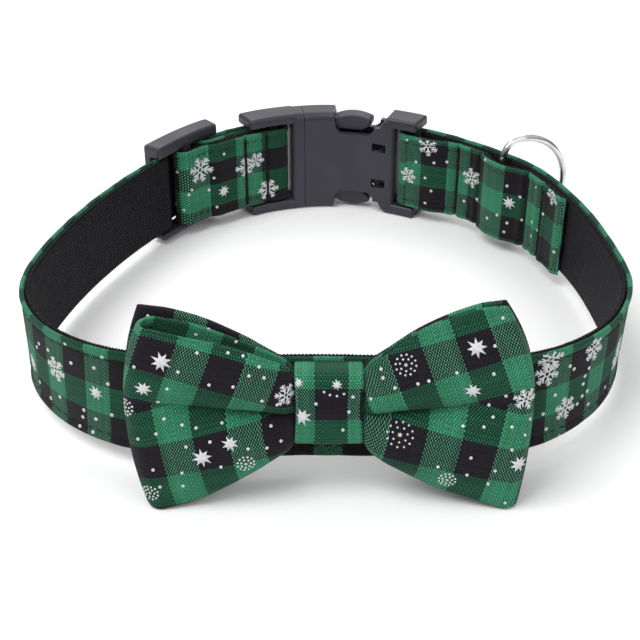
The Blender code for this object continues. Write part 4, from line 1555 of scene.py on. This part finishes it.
def knotPlace(point, share, middle, halfUp):
    up, out = point
    pinch = bow["knotPinch"] * (1 - (up / halfUp) ** 2)
    swell = 0.0
    if out > 0:
        swell = bow["knotPinch"] * (1 - share * share) * 0.5
        swell += bow["knotSoft"] * noise.noise(Vector((share * 2.2, up * 0.35, 4.0)))
    return onBow(share * (bow["knotWidth"] / 2 - pinch), up, middle + out + swell)


def makeKnot():
    ringPoints, middle, halfUp = knotRing()
    steps = bow["knotSteps"]
    shares = [i / steps - 1 for i in range(steps * 2 + 1)]
    rows = [[knotPlace(point, share, middle, halfUp) for share in shares] for point in ringPoints]
    walked = [0.0]
    for i, point in enumerate(ringPoints):
        walked.append(walked[-1] + (ringPoints[(i + 1) % len(ringPoints)] - point).length)

    def uvOf(span, row, column, upper):
        along = walked[-1] if row < span else walked[row]
        return shares[column] * bow["knotWidth"] / 2 - knotCheck[0], -along - knotCheck[1]

    mesh = shell("bow_knot", rows, bow["knot"], True, uvOf)
    return addObject("bow_knot", mesh, checkCotton, "knot_band")


print("bow: front loop, back layer and knot")
frontLoop = makeFrontLoop()
backLayer = makeBackLayer()
knot = makeKnot()


# Buckle and slider: built flat along x with y outwards, then bent along the strap


def block(shape, low, high):
    made = bmesh.ops.create_cube(shape, size=1.0)["verts"]
    bmesh.ops.scale(shape, vec=[high[i] - low[i] for i in range(3)], verts=made)
    bmesh.ops.translate(shape, vec=[(high[i] + low[i]) / 2 for i in range(3)], verts=made)


def prism(shape, near, far):
    # a solid between two like outlines
    near = [shape.verts.new(point) for point in near]
    far = [shape.verts.new(point) for point in far]
    shape.faces.new(near)
    shape.faces.new(far)
    for i in range(len(near)):
        k = (i + 1) % len(near)
        shape.faces.new((near[i], near[k], far[k], far[i]))


def roundBar(shape, x, width, thickness, y, lowZ, highZ):
    steps = 10
    radius, flat = thickness / 2, (width - thickness) / 2
    outline = []
    for side in (1, -1):
        for i in range(steps + 1):
            across, out = polar(radius, math.pi * (i / steps - 0.5))
            outline.append((x + side * (flat + across), y + side * out))
    prism(shape, [(px, py, lowZ) for px, py in outline], [(px, py, highZ) for px, py in outline])


def rough(name, build, rounded=0.0, segments=5):
    # a plain solid, to be joined to others or cut from them
    shape = bmesh.new()
    build(shape)
    mesh = bpy.data.meshes.new(name)
    bmesh.ops.recalc_face_normals(shape, faces=shape.faces)
    shape.to_mesh(mesh)
    shape.free()
    made = asObject(name, mesh)
    if rounded:
        bevel = made.modifiers.new("rounded", "BEVEL")
        bevel.width = rounded
        bevel.segments = segments
        bevel.limit_method = "ANGLE"
    return made


def roughBlock(name, low, high, rounded=0.0, segments=5):
    return rough(name, lambda shape: block(shape, low, high), rounded, segments)


def combined(base, joined, cut, soften=0.0):
    for operation, others in (("UNION", joined), ("DIFFERENCE", cut)):
        for other in others:
            step = base.modifiers.new(operation.title(), "BOOLEAN")
            step.operation = operation
            step.object = other
            step.solver = "EXACT"
    if soften:
        bevel = base.modifiers.new("soft edges", "BEVEL")
        bevel.width = soften
        bevel.segments = 2
        bevel.limit_method = "ANGLE"
        bevel.angle_limit = math.radians(40)
        bevel.use_clamp_overlap = True
    bpy.context.view_layer.update()
    mesh = bpy.data.meshes.new_from_object(base.evaluated_get(bpy.context.evaluated_depsgraph_get()))
    for other in [base, *joined, *cut]:
        bpy.data.objects.remove(other)
    return mesh


def laidAlong(name, flat, s, way, y, z, node):
    shape = bmesh.new()
    shape.from_mesh(flat)
    xs = [vert.co.x for vert in shape.verts]
    for i in range(1, int((max(xs) - min(xs)) / buckle["slice"]) + 1):
        everything = shape.verts[:] + shape.edges[:] + shape.faces[:]
        at = min(xs) + buckle["slice"] * (i - buckle["sliceShift"])
        bmesh.ops.bisect_plane(shape, geom=everything, plane_co=(at, 0, 0), plane_no=(1, 0, 0), dist=1e-4)
    for vert in shape.verts:
        vert.co = intoFrame(onFloor(s + way * vert.co.x, y + vert.co.y, z + vert.co.z))
    bmesh.ops.triangulate(shape, faces=shape.faces)
    bmesh.ops.recalc_face_normals(shape, faces=shape.faces)
    mesh = bpy.data.meshes.new(name)
    shape.to_mesh(mesh)
    shape.free()
    made = addObject(name, mesh, mouldedPlastic, node)
    mesh.shade_smooth()
    mesh.set_sharp_from_angle(angle=math.radians(38))
    even = made.modifiers.new("even shading", "WEIGHTED_NORMAL")
    even.keep_sharp = True
    return made


def flipped(outline, top):
    # an outline of (along, up from the lower side), turned over for the upper side
    return [(x, buckle["height"] - z) for x, z in outline] if top else outline


def windowOutline(top):
    depth, neck, wall = buckle["windowDepth"], buckle["neckDepth"], buckle["wall"]
    slant = depth * 0.25
    start = buckle["windowStart"]
    end = start + buckle["windowLength"]
    outline = [
        (start - slant / 2, -wall),
        (start + slant * 0.3, depth * 0.72),
        (start + slant * 1.3, depth),
        (end - slant * 1.3, depth),
        (end - slant * 0.2, depth * 0.8),
        (end, neck),
        (end + neck / 2, neck),
        (end + buckle["neckLength"], -wall),
    ]
    return flipped(outline, top)


def throughWall(outline, half):
    # the outline on both sides of the thickness, as prism takes it
    return [(x, -half, z) for x, z in outline], [(x, half, z) for x, z in outline]


def bodyBlock(near, far, pastNear, pastFar):
    # a rounded block, cut square at the seam between the buckle's halves
    half, height = buckle["thickness"] / 2, buckle["height"]
    long = roughBlock("body", (near, -half, 0), (far, half, height), buckle["corner"], 6)
    past = roughBlock("past seam", (pastNear, -half * 2, -half), (pastFar, half * 2, height + half))
    return asObject("body", combined(long, [], [past]))


def railsAndBar(near, far, rounded, barS):
    # the slot's two rails and the round bar that the strap turns about
    out, height, rail = buckle["thickness"] / 2 * 0.92, buckle["height"], buckle["rail"]
    spans = ((0.0, rail), (height - rail, height))
    made = [roughBlock("rail", (near, -out, low), (far, out, high), rounded) for low, high in spans]
    sizes = (seamS - barS, buckle["barWidth"], buckle["barThickness"], 0.0, rail / 2, height - rail / 2)
    return made + [rough("bar", lambda shape: roundBar(shape, *sizes))]


def makeSocket():
    half = buckle["thickness"] / 2
    wall, cavity = buckle["wall"], half - buckle["wall"]
    end, height, corner = buckle["socketSlot"], buckle["height"], buckle["corner"]
    body = bodyBlock(-corner * 3, end, -corner * 4, strap["gap"] * 0.6)
    joined = railsAndBar(end - wall * 2, buckle["socketLength"], corner / 2.4, socketBarS)
    inside = (-wall, -cavity, wall), (end - buckle["bodyPlate"], cavity, height - wall)
    cut = [roughBlock("cavity", *inside, 0.6, 3)]
    long, tall = buckle["recess"]
    far = end - buckle["bodyPlate"] / 2
    for top in (True, False):
        outline = windowOutline(top)
        cut.append(rough("window", lambda shape: prism(shape, *throughWall(outline, half * 2))))
        middle = height / 2 + buckle["recessSpread"] / 2 * (1 if top else -1)
        low = (far - long, -half * 2, middle - tall / 2)
        high = (far, -half + buckle["recessDepth"], middle + tall / 2)
        cut.append(roughBlock("recess", low, high, 0.5, 3))
    flat = combined(body, joined, cut, buckle["soften"])
    laidAlong("buckle_socket", flat, seamS, -1, -barDepth, 0.0, "buckle_female")


def armOutline(top):
    clear = strap["gap"] * 1.5
    height, crown = buckle["height"], buckle["crown"]
    outer = height - buckle["wall"] - clear
    inner = outer - buckle["armWidth"]
    root = -strap["gap"] * 2
    start = buckle["windowStart"] + clear
    end = buckle["windowStart"] + buckle["windowLength"] - buckle["windowDepth"] * 0.25 - clear
    points = [(root, inner), (end - 3.0, inner), (end, inner + 2.0)]
    steps = 10
    for i in range(steps + 1):
        t = i / steps
        rise = math.sin(math.pi * (0.12 + 0.76 * t)) ** 0.8
        points.append((end - (end - start) * t, outer - 1.0 + rise * (crown + height - 1.0 - outer)))
    points.append((root, outer))
    return flipped(points, not top)


def makePlug():
    half = buckle["thickness"] / 2
    inside = half - buckle["wall"] - strap["gap"]
    corner, slot, root = buckle["corner"], buckle["plugSlot"], -strap["gap"] * 2
    body = bodyBlock(-slot, corner * 3, 0.0, corner * 4)
    joined = railsAndBar(-buckle["plugLength"], -slot / 2, corner / 2.0, plugBarS)
    for top in (True, False):
        outline = armOutline(top)
        joined.append(rough("arm", lambda shape: prism(shape, *throughWall(outline, inside)), 0.7, 4))
    low, high = (buckle["height"] + way * buckle["guideWidth"] for way in (-1, 1))
    guide = (root, -inside, low / 2), (buckle["guideLength"], inside, high / 2)
    joined.append(roughBlock("guide", *guide, 0.8))
    laidAlong("buckle_plug", combined(body, joined, []), seamS, -1, -barDepth, 0.0, "buckle_male")


def makeSlider():
    half, ends = slider["height"] / 2, slider["length"] / 2
    inside = strap["width"] / 2 + strap["gap"]
    out, deep = slider["reach"], slider["reach"] - slider["thickness"]
    corner = buckle["corner"]
    body = roughBlock("rail", (-ends, deep, inside - slider["raise"]), (ends, out, half), corner / 2.2)
    joined = [roughBlock("rail", (-ends, deep, -half), (ends, out, -inside - slider["raise"]), corner / 2.2)]
    tall = half * 0.93
    for side in (1, -1):
        near, far = sorted((side * (ends - slider["bar"]), side * ends * 0.995))
        joined.append(roughBlock("end", (near, strap["gap"], -tall), (far, out * 0.98, tall), corner / 3))
    width, thickness, depth = (slider["centreBar" + size] for size in ("Width", "Thickness", "Depth"))
    sizes = (0.0, width, thickness, -depth, -tall, tall)
    joined.append(rough("centre bar", lambda shape: roundBar(shape, *sizes)))
    height = strapBottom(loop.at(sliderS)[0]) + strap["width"] / 2 + slider["raise"]
    laidAlong("strap_slider", combined(body, joined, []), sliderS, 1, 0.0, height, "slider")


print("buckle and slider")
makeSocket()
makePlug()
makeSlider()


def makeRing():
    # a round wire, with its straight bar in the strap's fold
    thick, sides = ring["wire"] / 2, ring["sides"]
    half = (ring["insideHeight"] + ring["wire"]) / 2
    reach, corner = ring["reach"] - thick, ring["corner"]
    straight, bend, crown = ring["steps"]
    path = [(0.0, -half + corner + (half - corner) * 2 * i / straight) for i in range(straight + 1)]
    turns = [polar(1.0, math.pi / 2 * i / bend) for i in range(1, bend + 1)]
    rounded = [(corner * (1 - x), half - corner * (1 - y)) for x, y in turns]
    arc = [math.pi / 2 - math.pi * i / crown for i in range(1, crown)]
    path += rounded + [(corner + (reach - corner) * math.cos(a), half * math.sin(a)) for a in arc]
    path += [(x, -h) for x, h in rounded[::-1]]
    point, normal, _ = loop.at(ringS)
    centre = onFloor(ringS, -ringDepth, strapBottom(point) + strap["width"] / 2 + ring["raise"])
    a = math.atan2(normal.y, normal.x) + math.radians(ring["turn"])
    outwards, sideways = Vector((*polar(1, a), 0)), Vector((-math.sin(a), math.cos(a), 0))
    up = Vector((0, 0, 1))
    points, faces = [], []
    for i, (r, h) in enumerate(path):
        before, after = path[i - 1], path[(i + 1) % len(path)]
        tangent = Vector((after[0] - before[0], after[1] - before[1])).normalized()
        across = outwards * tangent.y - up * tangent.x
        spot = centre + outwards * r + up * h
        for j in range(sides):
            x, y = polar(thick, 2 * math.pi * j / sides)
            points.append(spot + across * x + sideways * y)
        faces += bandFaces(sides, i * sides, (i + 1) % len(path) * sides)
    mesh = meshFrom("leash_ring", points, faces)
    addObject("leash_ring", mesh, platedSteel, "d_ring", "ring")


makeRing()
print("leash ring made")


# Prints: each lies where the camera sees it, on the piece that it meets there

# kind, size in millimetres, turn, and the pixels across and down the photograph
photoPrints = (
    ("star", 4.8, 0, ((161, 362), (202, 458), (477, 348))),
    ("star", 4.0, 14, ((143, 389), (230, 444), (473, 391), (96, 393))),
    ("star", 4.5, 8, ((302, 417), (519, 464), (224, 191), (509, 203))),
    ("star", 2.7, 0, ((298, 383), (337, 385))),
    ("flake", 5.6, 6, ((286, 395), (526, 399), (256, 160), (408, 175))),
    ("flake", 6.8, 0, ((56, 369), (547, 374), (565, 408), (594, 349), (616, 357))),
    ("flake", 6.8, 0, ((472, 178), (552, 195), (428, 146))),
    ("flake", 7.2, 16, ((245, 166), (268, 188), (551, 359))),
    ("flake", 9.0, 0, ((200, 170),)),
    ("cluster", 4.4, 0, ((126, 407), (150, 493), (246, 464), (447, 480))),
    ("cluster", 5.4, 10, ((406, 365),)),
    ("cluster", 6.8, 0, ((400, 435),)),
    # the bow's dots: left wing, right wing, knot
    (
        "dot", 0.8, 0,
        (
            (197, 353), (178, 372), (134, 367), (167, 389), (209, 385), (233, 387), (228, 353), (243, 356),
            (249, 376), (264, 378), (259, 367), (262, 401), (277, 405), (158, 402), (164, 419), (182, 425),
            (196, 428), (222, 423), (156, 434), (138, 439), (210, 442), (186, 447), (248, 449), (221, 467),
            (182, 473), (153, 470), (183, 486), (160, 487), (271, 426), (281, 441), (267, 448), (148, 316),
            (209, 329), (236, 342), (196, 335),
            (503, 318), (495, 346), (494, 374), (457, 373), (429, 381), (418, 384), (395, 388), (383, 378),
            (381, 369), (371, 399), (489, 405), (506, 396), (493, 417), (484, 427), (463, 426), (512, 427),
            (525, 435), (530, 419), (512, 450), (471, 458), (467, 475), (495, 471), (438, 467), (488, 484),
            (505, 503),
            (316, 404), (353, 397), (349, 412), (343, 430),
        ),
    ),
    ("dot", 0.6, 0, ((324, 392), (330, 395), (337, 396), (344, 394))),
    # the strap's dots: plug's end, socket's end, front left, front right
    (
        "dot", 1.0, 0,
        (
            (177, 172), (214, 178), (192, 190), (209, 190), (189, 195), (176, 204), (184, 210), (217, 207),
            (224, 154),
            (407, 140), (434, 163), (447, 162), (425, 178), (412, 182), (431, 191), (416, 162), (425, 203),
            (507, 186), (485, 160), (477, 199), (464, 201), (497, 215), (507, 223), (522, 220), (520, 197),
            (536, 187), (543, 214), (532, 222), (538, 230), (531, 236), (554, 252), (504, 232), (487, 218),
            (65, 344), (71, 363), (94, 368), (102, 357), (108, 384), (112, 415), (96, 419), (83, 417),
            (84, 410), (80, 426), (93, 432), (51, 398), (60, 397), (48, 350), (37, 347), (40, 382),
            (570, 366), (574, 369), (589, 368), (585, 376), (583, 384), (587, 391), (582, 396), (588, 404),
            (577, 404), (555, 395), (543, 414), (546, 429), (559, 436), (580, 424),
        ),
    ),
)

# The strap's outer face away from the camera: a print every few millimetres
hiddenPrints = {
    "first": 78.0,
    "step": 7.0,
    "turn": 17.0,
    "reach": 20.0,  # each is laid from this far outside the strap
    "depth": 30.0,
    "order": ("dot", "star", "dot", "flake", "dot", "dot", "star", "dot"),
    "sizes": {"dot": 1.0, "star": 4.8, "flake": 7.0},
}

view = {
    "eye": (-1.84, -301.5, 188.9),
    "look": (-1.84, -26.7, 17.2),
    "lens": 67.5,
    "sensor": 36.0,
    "frame": 640,
}


def photoRay(across, down):
    # the direction from the camera through a pixel of the photograph
    forward = (Vector(view["look"]) - Vector(view["eye"])).normalized()
    right = forward.cross(Vector((0, 0, 1))).normalized()
    rising = right.cross(forward)
    half = view["frame"] / 2
    share = view["sensor"] / 2 / view["lens"] / half
    return (forward + right * (across - half) * share + rising * (half - down) * share).normalized(), right


def printedPieces():
    pieces = {
        "strap_prints": PrintedPiece(cover),
        "bow_front_prints": PrintedPiece(frontLoop),
        "bow_back_prints": PrintedPiece(backLayer),
        "bow_knot_prints": PrintedPiece(knot),
    }
    eye = Vector(view["eye"]) * mm
    spots = [(kind, size, turn, spot) for kind, size, turn, marks in photoPrints for spot in marks]
    for kind, size, turn, spot in spots:
        direction, right = photoRay(*spot)
        hits = [(piece.tree.ray_cast(eye, direction), piece) for piece in pieces.values()]
        hits = [(hit[3], hit[0], hit[1], piece) for hit, piece in hits if hit[0]]
        if not hits:
            print("no cloth at pixel", spot)
            continue
        _, place, normal, piece = min(hits, key=lambda found: found[0])
        piece.lay(place, facedFrom(normal, direction), right, kind, size, turn)
    strapPiece = pieces["strap_prints"]
    s, index = hiddenPrints["first"], 0
    while s < loop.length - hiddenPrints["first"]:
        kind = hiddenPrints["order"][index % len(hiddenPrints["order"])]
        height = strap["width"] * (0.2 + 0.6 * (index * 0.618 % 1))
        start = intoFrame(onStrap(s, hiddenPrints["reach"], height))
        inwards = (intoFrame(onStrap(s, 0.0, height)) - start).normalized()
        place, normal, _, _ = strapPiece.tree.ray_cast(start, inwards, hiddenPrints["depth"] * mm)
        if place:
            sideways = Vector((-inwards.y, inwards.x, 0))
            size, turn = hiddenPrints["sizes"][kind], index * hiddenPrints["turn"]
            strapPiece.lay(place, facedFrom(normal, inwards), sideways, kind, size, turn)
        s += hiddenPrints["step"]
        index += 1
    return {name: piece.finished(name) for name, piece in pieces.items() if piece.faces}


prints = printedPieces()
print("prints:", ", ".join(prints))


# Studio

studio = {
    "floorTone": 0.93,
    "wallLight": 0.2,
    "roofLight": 0.7,
    "keyPower": 4.8,
    "floorHalf": 4.0,
    "floorDrop": 0.00005,
    "litPoint": (0, 0, 0.02),
    # name, place, size, share of the key's power
    "lights": (
        ("key", (-0.35, -0.25, 0.75), 0.5, 1.0),
        ("fill", (0.55, -0.55, 0.5), 0.7, 0.35),
        ("back", (0.0, 0.7, 0.6), 0.7, 0.5),
    ),
}


def facing(made, place, target):
    # put in the scene, looking at the target
    bpy.context.scene.collection.objects.link(made)
    made.location = place
    made.rotation_euler = (Vector(target) - Vector(place)).to_track_quat("-Z", "Y").to_euler()


def makeRoom():
    scene = bpy.context.scene
    scene.view_settings.view_transform = "Standard"
    world = bpy.data.worlds.new("soft room")
    scene.world = world
    world.use_nodes = True
    w = Wiring(world.node_tree)
    back = world.node_tree.nodes["Background"]
    back.inputs["Color"].default_value = (1.0, 1.0, 1.0, 1.0)
    upwards = w.node("ShaderNodeSeparateXYZ")
    w.feed(w.node("ShaderNodeTexCoord").outputs["Generated"], upwards.inputs[0])
    walls = w.ranged(upwards.outputs[2], 0.0, 0.75, studio["wallLight"], studio["roofLight"])
    seen = w.node("ShaderNodeLightPath").outputs["Is Camera Ray"]
    unseen = w.number("SUBTRACT", 1.0, seen)
    w.feed(w.plus(seen, w.times(walls, unseen)), back.inputs["Strength"])
    mesh = bpy.data.meshes.new("floor")
    far = studio["floorHalf"]
    mesh.from_pydata([(-far, -far, 0), (far, -far, 0), (far, far, 0), (-far, far, 0)], [], [(0, 1, 2, 3)])
    floor = asObject("floor", mesh)
    floor.location.z = -studio["floorDrop"]
    paper, _, shader = newMaterial("white paper", Roughness=0.9, Specular_IOR_Level=0.1)
    shader.inputs["Base Color"].default_value = (*[studio["floorTone"]] * 3, 1)
    mesh.materials.append(paper)


def makeLightsAndCamera():
    for name, place, size, share in studio["lights"]:
        light = bpy.data.lights.new(name, "AREA")
        light.energy = studio["keyPower"] * share
        light.size = size
        facing(bpy.data.objects.new(name, light), place, studio["litPoint"])
    camera = bpy.data.cameras.new("camera")
    camera.lens = view["lens"]
    camera.sensor_width = view["sensor"]
    camera.clip_start = 0.01
    shot = bpy.data.objects.new("camera", camera)
    facing(shot, Vector(view["eye"]) * mm, Vector(view["look"]) * mm)
    bpy.context.scene.camera = shot


makeRoom()
makeLightsAndCamera()
print("studio made")

bpy.context.view_layer.update()
